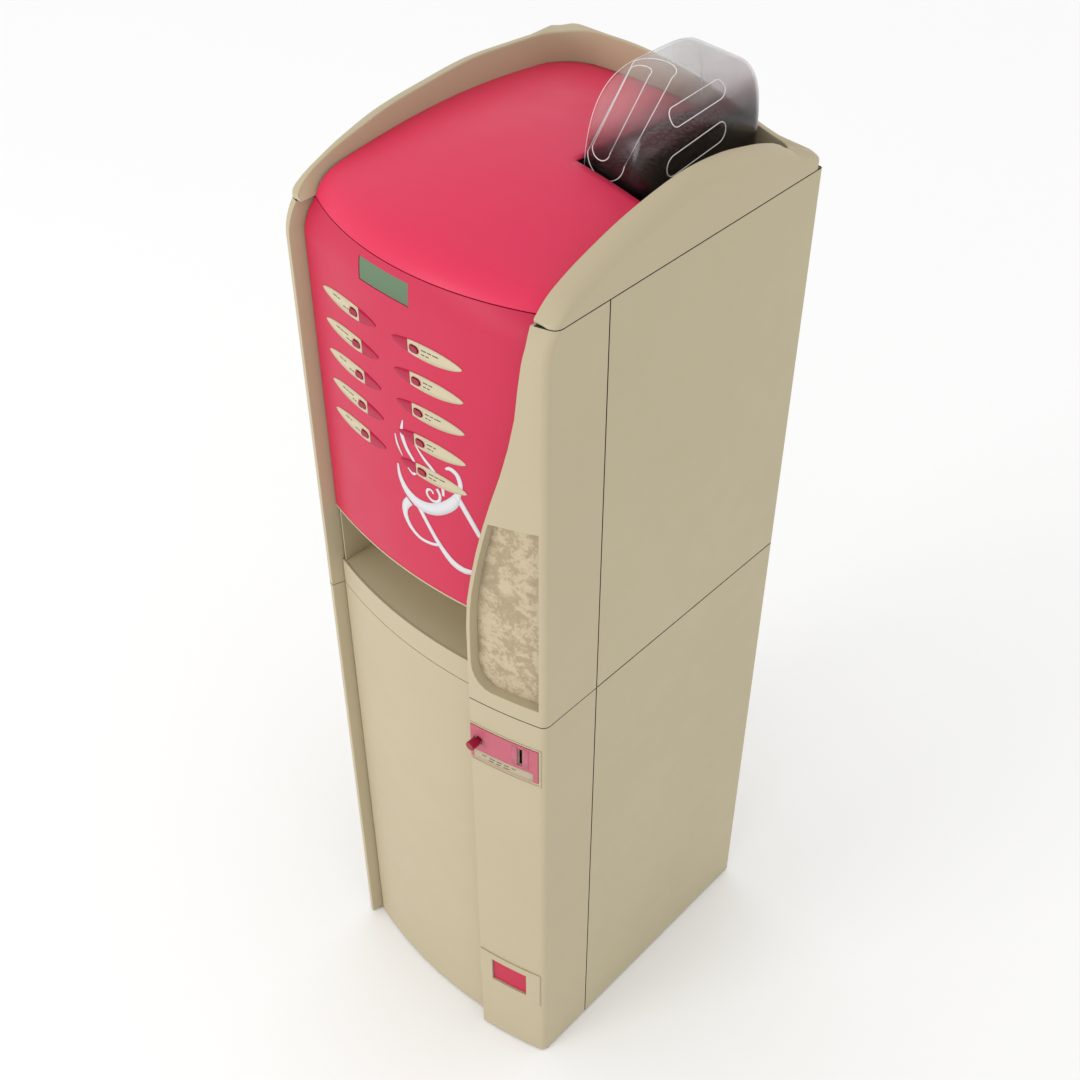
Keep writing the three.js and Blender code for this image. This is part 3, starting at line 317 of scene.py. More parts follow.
def stone(name):
    """Mottled stone inlay: ragged brown patches on warm beige."""
    graph = Graph(name, 0.5)
    patches = graph.noise(48.0, 12.0, 0.5)
    broken = graph.noise(210.0, 8.0, 0.4)
    mixed = graph.node("ShaderNodeMath", operation="MULTIPLY_ADD")
    graph.link(broken, mixed.inputs[0])
    mixed.inputs[1].default_value = 0.5
    graph.link(patches, mixed.inputs[2])
    graph.colour(graph.ramp(mixed.outputs[0], [
        (0.62, linear((190, 176, 148))), (0.72, linear((184, 169, 140))),
        (0.8, linear((167, 150, 121))), (0.95, linear((161, 144, 114)))]))
    graph.roughness(broken, 0.45, 0.55)
    graph.bump(mixed.outputs[0], 0.1 * MM)
    return graph.material


def display_glass(name):
    """Backlit green display behind a clear window, with a faint dot grid."""
    graph = Graph(name, 0.3, coat=0.1)
    base = linear((90, 117, 88))
    tone = graph.ramp(graph.height(TOP_SEAM - 50 * MM, TOP_SEAM - 10 * MM),
                      [(0.0, scaled(base, 0.86)), (1.0, scaled(base, 1.1))])
    dots = graph.cells(420.0)
    graph.colour(graph.blend(graph.ranged(dots, 0.2, 0.5, 0.0, 0.06), tone, scaled(base, 0.6)))
    graph.bump(dots, 0.02 * MM)
    return graph.material


def circuit(name):
    graph = Graph(name, 0.38, coat=0.3)
    tracks = graph.cells(95.0, feature="DISTANCE_TO_EDGE")
    graph.colour(graph.ramp(tracks, [(0.02, linear((58, 124, 72))), (0.09, linear((26, 74, 46)))]))
    graph.bump(tracks, 0.2 * MM)
    return graph.material


def clear_plastic(name):
    """Clear plastic, painted dark and near opaque at the foot as painted shade of the dark inside, and slightly
    frosted towards the top rear.
    """
    graph = Graph(name, 0.14, coat=0.3, specular=0.5)
    low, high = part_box("hopper_dome")
    parts = graph.node("ShaderNodeSeparateXYZ")
    graph.link(graph.place, parts.inputs["Vector"])
    level = graph.node("ShaderNodeMath", operation="MULTIPLY_ADD")
    graph.link(parts.outputs["X"], level.inputs[0])
    level.inputs[1].default_value = -0.3
    graph.link(parts.outputs["Z"], level.inputs[2])
    middle = (low.x + high.x) / 2
    rise = graph.ranged(level.outputs[0], low.z - 0.3 * middle, high.z - 0.3 * middle, 0.0, 1.0)
    # Painted shade: dark and near opaque at the foot, clearing towards the top.
    graph.colour(graph.ramp(rise, [
        (0.0, linear((22, 17, 17))), (0.45, linear((38, 28, 29))), (0.62, linear((120, 78, 84))),
        (0.76, linear((202, 190, 190))), (1.0, linear((216, 215, 213)))]))
    painted_shade_alpha = graph.ramp(rise, [
        (0.0, (0.9,) * 4), (0.3, (0.7,) * 4), (0.5, (0.36,) * 4), (0.68, (0.12,) * 4), (1.0, (0.07,) * 4)])
    frost = graph.ranged(parts.outputs["Y"], mix(low.y, high.y, 0.3), high.y, 0.0, 0.5)
    both = graph.node("ShaderNodeMath", operation="MULTIPLY_ADD", use_clamp=True)
    graph.link(frost, both.inputs[0])
    graph.link(graph.ranged(rise, 0.4, 0.9, 0.0, 1.0), both.inputs[1])
    graph.link(painted_shade_alpha, both.inputs[2])
    graph.link(both.outputs[0], graph.shader.inputs["Alpha"])
    ripple = graph.noise(26.0, 2.0)
    graph.roughness(ripple, 0.1, 0.2)
    graph.bump(ripple, 0.1 * MM, 0.05)
    return graph.material


def roasted(name):
    """Coffee beans: dark, oily and uneven in colour."""
    graph = Graph(name, 0.32, coat=0.2)
    tone = graph.cells(90.0, output="Color")
    grey = graph.node("ShaderNodeRGBToBW")
    graph.link(tone, grey.inputs["Color"])
    graph.colour(graph.ramp(grey.outputs["Val"], [
        (0.1, linear((20, 13, 11))), (0.9, linear((46, 30, 24)))]))
    graph.bump(graph.cells(110.0), 2 * MM, 0.8)
    graph.bump(graph.noise(500.0), 0.1 * MM)
    return graph.material


BEIGE = (184, 171, 142)
MATERIALS = {
    "beige_steel": painted_steel("beige_steel", (182, 171, 141)),
    "beige_moulding": moulded("beige_moulding", BEIGE, 0.5),
    "bare_steel": bare_metal("bare_steel", (196, 197, 194), 0.38, spangle=140.0),
    "lock_chrome": bare_metal("lock_chrome", (205, 206, 208), 0.16, stretch=(1, 1, 14)),
    "pink_panel": moulded("pink_panel", (192, 38, 72), 0.42, grain=0.02 * MM),
    "pink_cover": moulded("pink_cover", (216, 48, 84), 0.42, grain=0.02 * MM),
    "crimson_plastic": moulded("crimson_plastic", (146, 4, 46), 0.3, coat=0.15, grain=0.02 * MM),
    "marbled_inlay": stone("marbled_inlay"),
    "display": display_glass("display"),
    "circuit_board": circuit("circuit_board"),
    "coin_label": moulded("coin_label", (184, 92, 108), 0.4, grain=0.02 * MM),
    "hopper_clear": clear_plastic("hopper_clear"),
    "black_plastic": moulded("black_plastic", (44, 43, 44), 0.42, variation=0.15),
    "rubber_feet": moulded("rubber_feet", (38, 37, 37), 0.8, variation=0.2, grain=0.2 * MM),
    "grey_plastic": moulded("grey_plastic", (126, 128, 130), 0.45, variation=0.06),
    "boiler_metal": bare_metal("boiler_metal", (188, 150, 104), 0.3, stretch=(1, 1, 10)),
    "tank_plastic": moulded("tank_plastic", (224, 230, 230), 0.34, variation=0.04),
    "tray_plastic": moulded("tray_plastic", (192, 179, 147), 0.5),
}
LABEL_CREAM = moulded("label_cream", (194, 182, 152), 0.4, variation=0.04, grain=0.03 * MM)
LABEL_CRIMSON = moulded("label_crimson", (168, 4, 56), 0.36, variation=0.04, grain=0.03 * MM)
FLAP_PINK = moulded("flap_pink", (184, 20, 62), 0.34, grain=0.02 * MM)
PRINT_WHITE = moulded("print_white", (208, 207, 209), 0.4, variation=0.02, grain=0.02 * MM)
PRINT_DARK = moulded("print_dark", (74, 66, 60), 0.5, variation=0.08, grain=0.02 * MM)
STRIP_CREAM = moulded("strip_cream", (176, 162, 136), 0.4, variation=0.04, grain=0.02 * MM)
BEANS = roasted("roasted_beans")


# ---- Mesh kit ----------------------------------------------------------------------------------------
def make_piece(name, verts, faces, material, body, smooth=True):
    mesh = bpy.data.meshes.new(name)
    mesh.from_pydata(verts, [], faces)
    mesh.validate()
    obj = bpy.data.objects.new(name, mesh)
    bpy.context.scene.collection.objects.link(obj)
    obj.data.materials.append(material)
    work = bmesh.new()
    work.from_mesh(mesh)
    bmesh.ops.remove_doubles(work, verts=work.verts, dist=0.01 * MM)
    bmesh.ops.recalc_face_normals(work, faces=work.faces)
    work.to_mesh(mesh)
    work.free()
    mesh.polygons.foreach_set("use_smooth", [smooth] * len(mesh.polygons))
    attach(obj, body)
    return obj


def add_bevel(obj, width, segments=2, angle=30.0):
    bevel = obj.modifiers.new("bevel", "BEVEL")
    bevel.width = width
    bevel.segments = segments
    bevel.limit_method = "ANGLE"
    bevel.angle_limit = math.radians(angle)
    bevel.harden_normals = True
    return bevel


def thicken(obj, thickness, offset=-1.0):
    solidify = obj.modifiers.new("thickness", "SOLIDIFY")
    solidify.thickness = thickness
    solidify.offset = offset
    return solidify


def lofted(name, rings, material, body, slot):
    """A closed skin through closed rings of equal length, capped at both ends."""
    build = Build()
    build.loft(rings)
    return build.piece(name, material, body, slot)


def smooth_path(points, per=8):
    """Points along a smooth curve through the given ones."""
    path = []
    for i in range(len(points) - 1):
        before = points[max(i - 1, 0)]
        a, b = points[i], points[i + 1]
        after = points[min(i + 2, len(points) - 1)]
        for n in range(per):
            t = n / per
            path.append(tuple(
                0.5 * (2 * q + (r - p) * t + (2 * p - 5 * q + 4 * r - u) * t * t
                       + (3 * q - p - 3 * r + u) * t ** 3)
                for p, q, r, u in zip(before, a, b, after)))
    return path + [tuple(points[-1])]


class Build:
    """Collects closed bodies into one mesh."""

    def __init__(self):
        self.verts = []
        self.faces = []

    def body(self, verts, faces):
        start = len(self.verts)
        self.verts += verts
        self.faces += [tuple(start + v for v in face) for face in faces]

    def loft(self, rings, closed=False):
        """Through equal rings; closed joins the last ring to the first."""
        count = len(rings[0])
        faces = []
        for i in range(len(rings) if closed else len(rings) - 1):
            n = (i + 1) % len(rings)
            for j in range(count):
                k = (j + 1) % count
                faces.append((i * count + j, i * count + k, n * count + k, n * count + j))
        if not closed:
            faces.append(tuple(reversed(range(count))))
            faces.append(tuple((len(rings) - 1) * count + j for j in range(count)))
        self.body([point for ring in rings for point in ring], faces)

    def sheet(self, grid, thickness):
        """A plate whose front is a grid of points, rows by columns, made thick towards +Y."""
        rows, columns = len(grid), len(grid[0])
        front = [point for row in grid for point in row]
        back = [(x, y + thickness, z) for x, y, z in front]
        size = len(front)
        faces = []
        for i in range(rows - 1):
            for j in range(columns - 1):
                a, b = i * columns + j, (i + 1) * columns + j
                faces.append((a, a + 1, b + 1, b))
                faces.append((size + a, size + b, size + b + 1, size + a + 1))
        rim = [j for j in range(columns)]
        rim += [i * columns + columns - 1 for i in range(1, rows)]
        rim += [(rows - 1) * columns + j for j in reversed(range(columns - 1))]
        rim += [i * columns for i in reversed(range(1, rows - 1))]
        faces += [(a, b, size + b, size + a) for a, b in zip(rim, rim[1:] + rim[:1])]
        self.body(front + back, faces)

    def film(self, xs, low, high, surface, proud, thickness, steps_up=3):
        """A thin film on a curved front, between two heights given for each x."""
        self.sheet([[(x, surface(x, z) - proud, z) for z in spread(low(x), high(x), steps_up)]
                    for x in xs], thickness)

    def stroke(self, points, widths, surface, proud, thickness):
        """A painted stroke along (x, z) points on a curved front, with rounded ends."""
        path = smooth_path([(x, z, w) for (x, z), w in zip(points, widths)])
        grid = []
        for i, (x, z, width) in enumerate(path):
            ahead = path[min(i + 1, len(path) - 1)]
            behind = path[max(i - 1, 0)]
            run = Vector((ahead[0] - behind[0], ahead[1] - behind[1])).normalized()
            row = []
            for side in (-0.5, 0.0, 0.5):
                px, pz = x - run.y * width * side, z + run.x * width * side
                row.append((px, surface(px, pz) - proud, pz))
            grid.append(row)
        self.sheet(grid, thickness)

    def oval_ring(self, x, z, half_w, half_h, rim, surface, proud, thickness, count=32):
        """A flat ring round an oval with straight sides, on a curved front."""
        rings = []
        flat = half_w - half_h
        for i in range(count):
            angle = 2 * math.pi * (i + 0.5) / count
            ring = []
            for grow, depth in ((0.0, 0.0), (rim, 0.0), (rim, thickness), (0.0, thickness)):
                px = x + math.copysign(flat, math.cos(angle)) + (half_h + grow) * math.cos(angle)
                pz = z + (half_h + grow) * math.sin(angle)
                ring.append((px, surface(px, pz) - proud + depth, pz))
            rings.append(ring)
        self.loft(rings, closed=True)

    def tube(self, path, radius, sides=12):
        """A round bar along 3-D points."""
        rings = []
        up = Vector((0.31, 0.17, 0.93)).normalized()
        for i, point in enumerate(path):
            ahead = Vector(path[min(i + 1, len(path) - 1)])
            behind = Vector(path[max(i - 1, 0)])
            run = (ahead - behind).normalized()
            side = run.cross(up).normalized()
            other = run.cross(side).normalized()
            rings.append([tuple(Vector(point) + radius * (
                math.cos(a) * side + math.sin(a) * other))
                for a in (2 * math.pi * k / sides for k in range(sides))])
        self.loft(rings)

    def turned(self, centre, axis, profile, sides=24):
        """A turned body: (radius, distance) pairs along an axis from a centre."""
        axis = Vector(axis).normalized()
        side = axis.orthogonal().normalized()
        other = axis.cross(side)
        self.loft([[tuple(Vector(centre) + axis * along + radius * (
            math.cos(a) * side + math.sin(a) * other))
            for a in (2 * math.pi * k / sides for k in range(sides))] for radius, along in profile])

    def piece(self, name, material, body, slot, smooth=True):
        return make_piece(name, self.verts, self.faces, material, body, smooth)


# ---- Camera, light and floor -------------------------------------------------------------------------
def add_camera():
    data = bpy.data.cameras.new("camera")
    data.lens = 50.93
    data.sensor_width = 36.0
    camera = bpy.data.objects.new("camera", data)
    bpy.context.scene.collection.objects.link(camera)
    camera.location = (1.2377, -1.35723, 2.6228)
    target = Vector((0.0, -0.00603, 0.976))
    camera.rotation_euler = (target - camera.location).to_track_quat("-Z", "Y").to_euler()
    bpy.context.scene.camera = camera


def add_area(name, place, target, size, power, colour=(1, 1, 1)):
    data = bpy.data.lights.new(name, "AREA")
    data.shape = "DISK"
    data.size = size
    data.energy = power
    data.color = colour
    light = bpy.data.objects.new(name, data)
    bpy.context.scene.collection.objects.link(light)
    light.location = place
    light.rotation_euler = (Vector(target) - Vector(place)).to_track_quat("-Z", "Y").to_euler()


def add_light_and_floor():
    world = bpy.data.worlds.new("studio")
    world.use_nodes = True
    background = world.node_tree.nodes["Background"]
    background.inputs["Color"].default_value = (1.0, 1.0, 1.0, 1.0)
    background.inputs["Strength"].default_value = 0.995
    bpy.context.scene.world = world
    bpy.context.scene.view_settings.view_transform = "Standard"
    add_area("key", (-1.6, -5.2, 2.2), (0, 0, 1.0), 2.4, 84)
    mesh = bpy.data.meshes.new("floor")
    reach = 40.0
    mesh.from_pydata([(-reach, -reach, 0), (reach, -reach, 0), (reach, reach, 0), (-reach, reach, 0)],
                     [], [(0, 1, 2, 3)])
    floor = bpy.data.objects.new("floor", mesh)
    bpy.context.scene.collection.objects.link(floor)
    graph = Graph("floor_white", 0.9)
    graph.colour(graph.ramp(graph.noise(0.4), [(0.2, (0.945, 0.945, 0.945, 1)), (0.8, (0.955, 0.955, 0.955, 1))]))
    mesh.materials.append(graph.material)


add_camera()
add_light_and_floor()


# ---- Finish of the CAD pieces --------------------------------------------------------------------------
def finish_cad_nodes():
    """Each CAD node takes its slot's material, loses its facet edges and gets small rounded edges."""
    slot_of = {part["node"]: part["material_slot"] for part in frame["record"]["subparts"]}
    for name, obj in frame["nodes"].items():
        obj.data.materials.clear()
        obj.data.materials.append(FLAP_PINK if name == "coin_return_flap" else MATERIALS[slot_of[name]])
        weld = obj.modifiers.new("weld", "WELD")
        weld.merge_threshold = 0.01 * MM
        flat = obj.modifiers.new("flat", "DECIMATE")
        flat.decimate_type = "DISSOLVE"
        flat.angle_limit = math.radians(0.6)
        if name not in ("column_inlay", "control_board"):
            add_bevel(obj, (2.0 if name in WIDE_EDGES else 0.9) * MM, 3)
        level = obj.modifiers.new("normals", "WEIGHTED_NORMAL")
        level.weight = 60
        obj.data.polygons.foreach_set("use_smooth", [True] * len(obj.data.polygons))
        obj.data.update()


WIDE_EDGES = ("service_column", "coin_column", "upper_left_pillar", "lower_left_pillar")
finish_cad_nodes()

# ---- Crown, cover and dome in their full curves ----------------------------------------------------------
ROLL_DROP = 13 * MM
INNER_CORNER_LEFT = 60 * MM
INNER_CORNER_RIGHT = 24 * MM


def crown_stations():
    """Outer and inner plan points of the crown, from the left front tip round the rear to the right."""
    tip = FRONT + 18 * MM
    inner_left, inner_right = LEFT + RIM_LEFT, RIGHT - RIM_RIGHT
    inner_rear = REAR - RIM_REAR

    def nose(y):
        ahead = min(CORNER_R, max(0.0, tip + CORNER_R - y))
        return CORNER_R - math.sqrt(CORNER_R ** 2 - ahead ** 2)

    def corner(outer_x, inner_x, radius, side):
        points = []
        for angle in spread(0, math.pi / 2, 14):
            c, s = math.cos(angle), math.sin(angle)
            points.append(((outer_x + side * CORNER_R * (c - 1), REAR - CORNER_R * (1 - s)),
                           (inner_x + side * radius * (c - 1), inner_rear - radius * (1 - s))))
        return points if side < 0 else points[::-1]

    def run(end):
        return [tip + (end - tip) * t ** 1.6 for t in spread(0, 1, 46)]

    left = [((LEFT + nose(y), y), (inner_left, y)) for y in run(inner_rear - INNER_CORNER_LEFT)]
    right = [((RIGHT - nose(y), y), (inner_right, y)) for y in run(inner_rear - INNER_CORNER_RIGHT)]
    across = spread(inner_left + INNER_CORNER_LEFT + 15 * MM, inner_right - INNER_CORNER_RIGHT - 12 * MM, 16)
    return (left + corner(LEFT, inner_left, INNER_CORNER_LEFT, -1)
            + [((x, REAR), (x, inner_rear)) for x in across]
            + corner(RIGHT, inner_right, INNER_CORNER_RIGHT, 1) + right[::-1])


def add_crown():
    rings = []
    for outer, inner in crown_stations():
        crest = crest_z(*inner)
        height = crest - CROWN_FOOT
        roll = min(ROLL_DROP, height * 0.3)
        ceiling = CROWN_FOOT + max(0.4 * MM, height - roll - 4 * MM)
        ahead = 1 - smoothstep((inner[1] - FRONT - 16 * MM) / (150 * MM))
        lip = 1 - (0.42 * ahead if inner[0] < 0 else 0.0)
        profile = [(0.0, CROWN_FOOT), (0.0, CROWN_FOOT + (crest - 1.7 * roll - CROWN_FOOT) * 0.5)]
        for angle in spread(0, math.pi / 2, 10):
            profile.append((0.88 * lip * (1 - math.cos(angle)),
                            crest - 1.7 * roll + 1.66 * roll * math.sin(angle)))
        profile += [(0.95 * lip, crest), (0.985 * lip, crest - 0.06 * roll), (lip, crest - 0.2 * roll)]
        profile += [(mix(lip, 1.0, 0.5), mix(crest - 0.2 * roll, CROWN_FOOT, 0.5)), (1.0, CROWN_FOOT)]
        profile += [(0.86 * lip, CROWN_FOOT), (0.86 * lip, ceiling),
                    (0.16 * lip, max(CROWN_FOOT + 0.4 * MM, ceiling - roll)), (0.16 * lip, CROWN_FOOT)]
        rings.append([(mix(outer[0], inner[0], t), mix(outer[1], inner[1], t), z) for t, z in profile])
    crown = lofted("crown_moulding", rings, MATERIALS["beige_moulding"], "cabinet", "beige_moulding")
    add_bevel(crown, 0.8 * MM, 2, 50)
    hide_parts("crown")


HOPPER_LOW, HOPPER_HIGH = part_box("hopper_dome")
LID_SHEET = 4 * MM


def lid_rear(x):
    """Rear edge of the cover at x, inside the crown's rounded left corner."""
    rear = REAR - RIM_REAR - 0.4 * MM
    centre = LEFT + RIM_LEFT + INNER_CORNER_LEFT
    if x >= centre:
        return rear
    radius = INNER_CORNER_LEFT - 0.4 * MM
    return rear - radius + math.sqrt(max(0.0, radius ** 2 - (x - centre) ** 2))


def add_top_cover():
    """One moulding with a soft front roll, cut away where the bean hopper stands."""
    left, right = LEFT + RIM_LEFT + 0.4 * MM, RIGHT - RIM_RIGHT - 0.4 * MM
    cut_x, cut_y = HOPPER_LOW.x - 2 * MM, HOPPER_LOW.y - 8 * MM
    fore = [t ** 1.8 for t in spread(0, 1, 40)]

    def column(x, rear):
        start = front_arc(x, TOP_ARC)
        ys = [mix(start, cut_y, t) for t in fore]
        if rear is not None:
            ys += [mix(cut_y, rear, t) for t in spread(0, 1, 26)[1:]]
        return [(x, y, lid_z(x, y)) for y in ys]

    def plate(build, xs, rear_of):
        columns = [column(x, rear_of(x)) for x in xs]
        rings = []
        for upper in columns:
            lower = [(x, y + (LID_SHEET if i == 0 else 0), z - min(LID_SHEET, z - CROWN_FOOT + 0.2 * MM))
                     for i, (x, y, z) in enumerate(upper)]
            rings.append(upper + lower[::-1])
        build.loft(rings)

    build = Build()
    corner = [left + INNER_CORNER_LEFT * (1 - math.cos(a)) for a in spread(0, math.pi / 2, 14)]
    plate(build, corner + spread(left + INNER_CORNER_LEFT, cut_x, 24)[1:], lid_rear)
    cover_left = build.piece("cover_left", MATERIALS["pink_cover"], "top_cover", "pink_cover")
    build = Build()
    plate(build, spread(cut_x, right, 22), lambda x: None)
    cover_right = build.piece("cover_right", MATERIALS["pink_cover"], "top_cover", "pink_cover")
    return cover_left, cover_right


def join_pieces(name, pieces):
    """One piece out of plates that share an edge; the wall between them is dropped."""
    work = bmesh.new()
    for piece in pieces:
        work.from_mesh(piece.data)
    bmesh.ops.remove_doubles(work, verts=work.verts, dist=0.02 * MM)
    inner = [face for face in work.faces if all(len(edge.link_faces) > 2 or edge.calc_length() < 1e-7
                                                for edge in face.edges)]
    bmesh.ops.delete(work, geom=inner, context="FACES")
    bmesh.ops.recalc_face_normals(work, faces=work.faces)
    first = pieces[0]
    work.to_mesh(first.data)
    work.free()
    first.data.polygons.foreach_set("use_smooth", [True] * len(first.data.polygons))
    first.name = name
    for piece in pieces[1:]:
        bpy.data.objects.remove(piece)
    return first


DOME_LEFT_R = 12 * MM
DOME_RIGHT_R = 32 * MM
DOME_WALL = 3 * MM
DOME_CREST = HOPPER_LOW.y + 115 * MM
DOME_TILT = 0.05


def dome_point(x, angle, inset):
    """Point of the dome's side outline at x: 0 degrees is the rear foot, 180 the front foot."""
    base = HOPPER_LOW.z + 1 * MM
    rise = HOPPER_HIGH.z + 0.6 * MM - DOME_TILT * (x - HOPPER_LOW.x) - inset - base
    ahead = math.cos(angle) < 0
    power = 2 / (3.0 if ahead else 4.4)
    reach = (DOME_CREST - HOPPER_LOW.y if ahead else HOPPER_HIGH.y - DOME_CREST) - inset
    y = DOME_CREST + math.copysign(reach * abs(math.cos(angle)) ** power, math.cos(angle))
    return (x, y, base + rise * max(0.0, math.sin(angle)) ** power)


def dome_outline(x, inset, foot):
    """Side outline of the dome at x, from the front foot over the crest to the rear foot."""
    points = [dome_point(x, a, inset) for a in spread(math.pi, 0, 72)]
    return [(x, points[0][1], foot)] + points + [(x, points[-1][1], foot)]


def dome_rings(inset, foot):
    """Outlines across the dome, drawn in towards its left and right edges."""
    rings = []
    for a in spread(0, math.pi / 2, 8):
        radius = DOME_LEFT_R - inset
        rings.append((HOPPER_LOW.x + inset + radius * (1 - math.cos(a)), inset + radius * (1 - math.sin(a))))
    for a in spread(math.pi / 2, 0, 14):
        radius = DOME_RIGHT_R - inset
        rings.append((HOPPER_HIGH.x - inset - radius * (1 - math.cos(a)), inset + radius * (1 - math.sin(a))))
    return [dome_outline(x, drop, foot) for x, drop in rings]


def add_dome():
    """A clear shell, open below: outer and inner skins joined round the foot."""
    foot = HOPPER_LOW.z
    outer, inner = dome_rings(0.0, foot), dome_rings(DOME_WALL, foot)
    count = len(outer[0])
    build = Build()
    verts = [p for ring in outer + inner for p in ring]
    size = len(outer) * count
    faces = []
    for base, flip in ((0, False), (size, True)):
        for i in range(len(outer) - 1):
            for j in range(count - 1):
                a, b = base + i * count + j, base + (i + 1) * count + j
                quad = (a, b, b + 1, a + 1)
                faces.append(quad[::-1] if flip else quad)
        for row in (0, len(outer) - 1):
            cap = tuple(base + row * count + j for j in range(count))
            faces.append(cap if (row == 0) != flip else cap[::-1])
    for i in range(len(outer) - 1):
        for j in (0, count - 1):
            a, b = i * count + j, (i + 1) * count + j
            faces.append((a, b, size + b, size + a))
    for row in (0, len(outer) - 1):
        a, b = row * count, row * count + count - 1
        faces.append((a, b, size + b, size + a))
    build.body(verts, faces)
    dome = build.piece("bean_dome", MATERIALS["hopper_clear"], "hopper_dome", "hopper_clear")
    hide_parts("hopper_dome")


add_crown()
cover = join_pieces("top_cover_moulding", add_top_cover())
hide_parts("top_cover")
add_dome()


# ---- Selection panel and what is printed on it -------------------------------------------------------------
BAY_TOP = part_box("selection_panel")[0].z
PANEL_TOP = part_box("selection_panel")[1].z
FILM = 0.5 * MM


def baked(obj):
    """The object with its modifiers made part of its mesh."""
    done = bpy.data.meshes.new_from_object(obj.evaluated_get(bpy.context.evaluated_depsgraph_get()))
    obj.modifiers.clear()
    obj.data = done
    return obj


def button_centres():
    for i in range(1, 11):
        low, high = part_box(f"select_button_{i}")
        yield i, (low.x + high.x) / 2, (low.z + high.z) / 2


def add_panel():
    """The curved pink front, with an oval hole for each button and a window for the display."""
    levels = spread(BAY_TOP, TOP_SEAM - LEAN_HEIGHT, 70) + spread(TOP_SEAM - LEAN_HEIGHT, PANEL_TOP, 16)[1:]
    build = Build()
    build.sheet([[(x, panel_y(x, z), z)
                  for x in spread(PILLAR_INNER, column_edge(z) - 0.4 * MM, 64)] for z in levels], 3.5 * MM)
    panel = build.piece("selection_front", MATERIALS["pink_panel"], "upper_door", "pink_panel")
    holes = Build()
    for _, x, z in button_centres():
        rings = []
        for y in (FRONT - 0.06, FRONT + 0.06):
            rings.append([(x + math.copysign(2.5 * MM, math.cos(a)) + 5.6 * MM * math.cos(a), y,
                           z + 5.6 * MM * math.sin(a))
                          for a in (2 * math.pi * (k + 0.5) / 28 for k in range(28))])
        holes.loft(rings)
    low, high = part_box("display_window")
    gap = 0.5 * MM
    holes.loft([[(low.x - gap, y, low.z - gap), (high.x + gap, y, low.z - gap),
                 (high.x + gap, y, high.z + gap), (low.x - gap, y, high.z + gap)]
                for y in (FRONT - 0.06, FRONT + 0.06)])
    cutter = holes.piece("cutter", MATERIALS["pink_panel"], "upper_door", "pink_panel", False)
    cut = panel.modifiers.new("holes", "BOOLEAN")
    cut.object = cutter
    cut.solver = "EXACT"
    baked(panel)
    bpy.data.objects.remove(cutter)
    mark_sharp(panel, 40)
    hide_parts("selection_panel")


def mark_sharp(obj, degrees):
    """Smooth faces with crisp edges above an angle."""
    work = bmesh.new()
    work.from_mesh(obj.data)
    for edge in work.edges:
        edge.smooth = len(edge.link_faces) != 2 or edge.calc_face_angle(0.0) < math.radians(degrees)
    work.to_mesh(obj.data)
    work.free()
    obj.data.polygons.foreach_set("use_smooth", [True] * len(obj.data.polygons))


LABEL_HALF = 61.5 * MM
LABEL_RISE = 12 * MM
LABEL_SPLIT = 25.5 * MM          # the two colours meet this far from the label's middle
DASH_ROWS = ((3.2 * MM, (9, 6, 12)), (-3.4 * MM, (5, 4)))


def label_height(x, middle):
    s = min(1.0, abs(x - middle) / LABEL_HALF)
    return LABEL_RISE * (1 - s * s) ** 0.66


def add_label(i, bx, bz):
    """A pointed-oval label: cream with a crimson inner tip, open round its button."""
    sense = 1 if i <= 5 else -1
    middle = bx - sense * 14 * MM if i <= 5 else bx + 19 * MM
    split = middle + sense * LABEL_SPLIT if i <= 5 else middle - 30 * MM
    z = bz + 1 * MM
    tip = middle + sense * LABEL_HALF
    tail = middle - sense * LABEL_HALF

    def high(x):
        return z + label_height(x, middle)

    def low(x):
        return z - label_height(x, middle)

    def hole(x):
        reach = abs(x - bx) - 2.5 * MM
        radius = 6 * MM
        return radius if reach <= 0 else math.sqrt(max(0.0, radius ** 2 - reach ** 2))

    edge_a, edge_b = bx - 8.5 * MM, bx + 8.5 * MM
    inner_edge = edge_b if sense > 0 else edge_a
    outer_edge = edge_a if sense > 0 else edge_b
    cream = Build()
    settings = (panel_y, 0.8 * MM, 0.7 * MM)
    cream.film(spread(tail, outer_edge, 30), low, high, *settings)
    cream.film(spread(outer_edge, inner_edge, 24), lambda x: bz + hole(x), high, *settings)
    cream.film(spread(outer_edge, inner_edge, 24), low, lambda x: bz - hole(x), *settings)
    cream.film(spread(inner_edge, split, 4), low, high, *settings)
    cream.piece(f"label_{i}", LABEL_CREAM, "upper_door", "beige_moulding")
    point = Build()
    point.film(spread(split + sense * 0.4 * MM, tip, 20), low, high, *settings)
    point.piece(f"label_tip_{i}", LABEL_CRIMSON, "upper_door", "crimson_plastic")
    ring = Build()
    ring.oval_ring(bx, bz, 7.9 * MM, 5.4 * MM, 0.8 * MM, panel_y, 1.1 * MM, 1.0 * MM)
    ring.piece(f"button_bezel_{i}", RING_DARK, "upper_door", "crimson_plastic")
    dashes = Build()
    for row, (rise, lengths) in enumerate(DASH_ROWS):
        x = middle - (34 if sense > 0 else 6) * MM + row * (24 if sense > 0 else 0) * MM
        for n, length in enumerate(lengths[: 3 - (i + row) % 2]):
            size = (length + (i * 3 + n * 5) % 4) * 0.8 * MM
            dashes.film([x, x + size], lambda _: z + rise - 0.8 * MM, lambda _: z + rise + 0.8 * MM,
                        panel_y, 0.95 * MM, 0.2 * MM, 1)
            x += size + 1.8 * MM
    dashes.piece(f"label_lines_{i}", PRINT_DARK, "upper_door", "black_plastic")


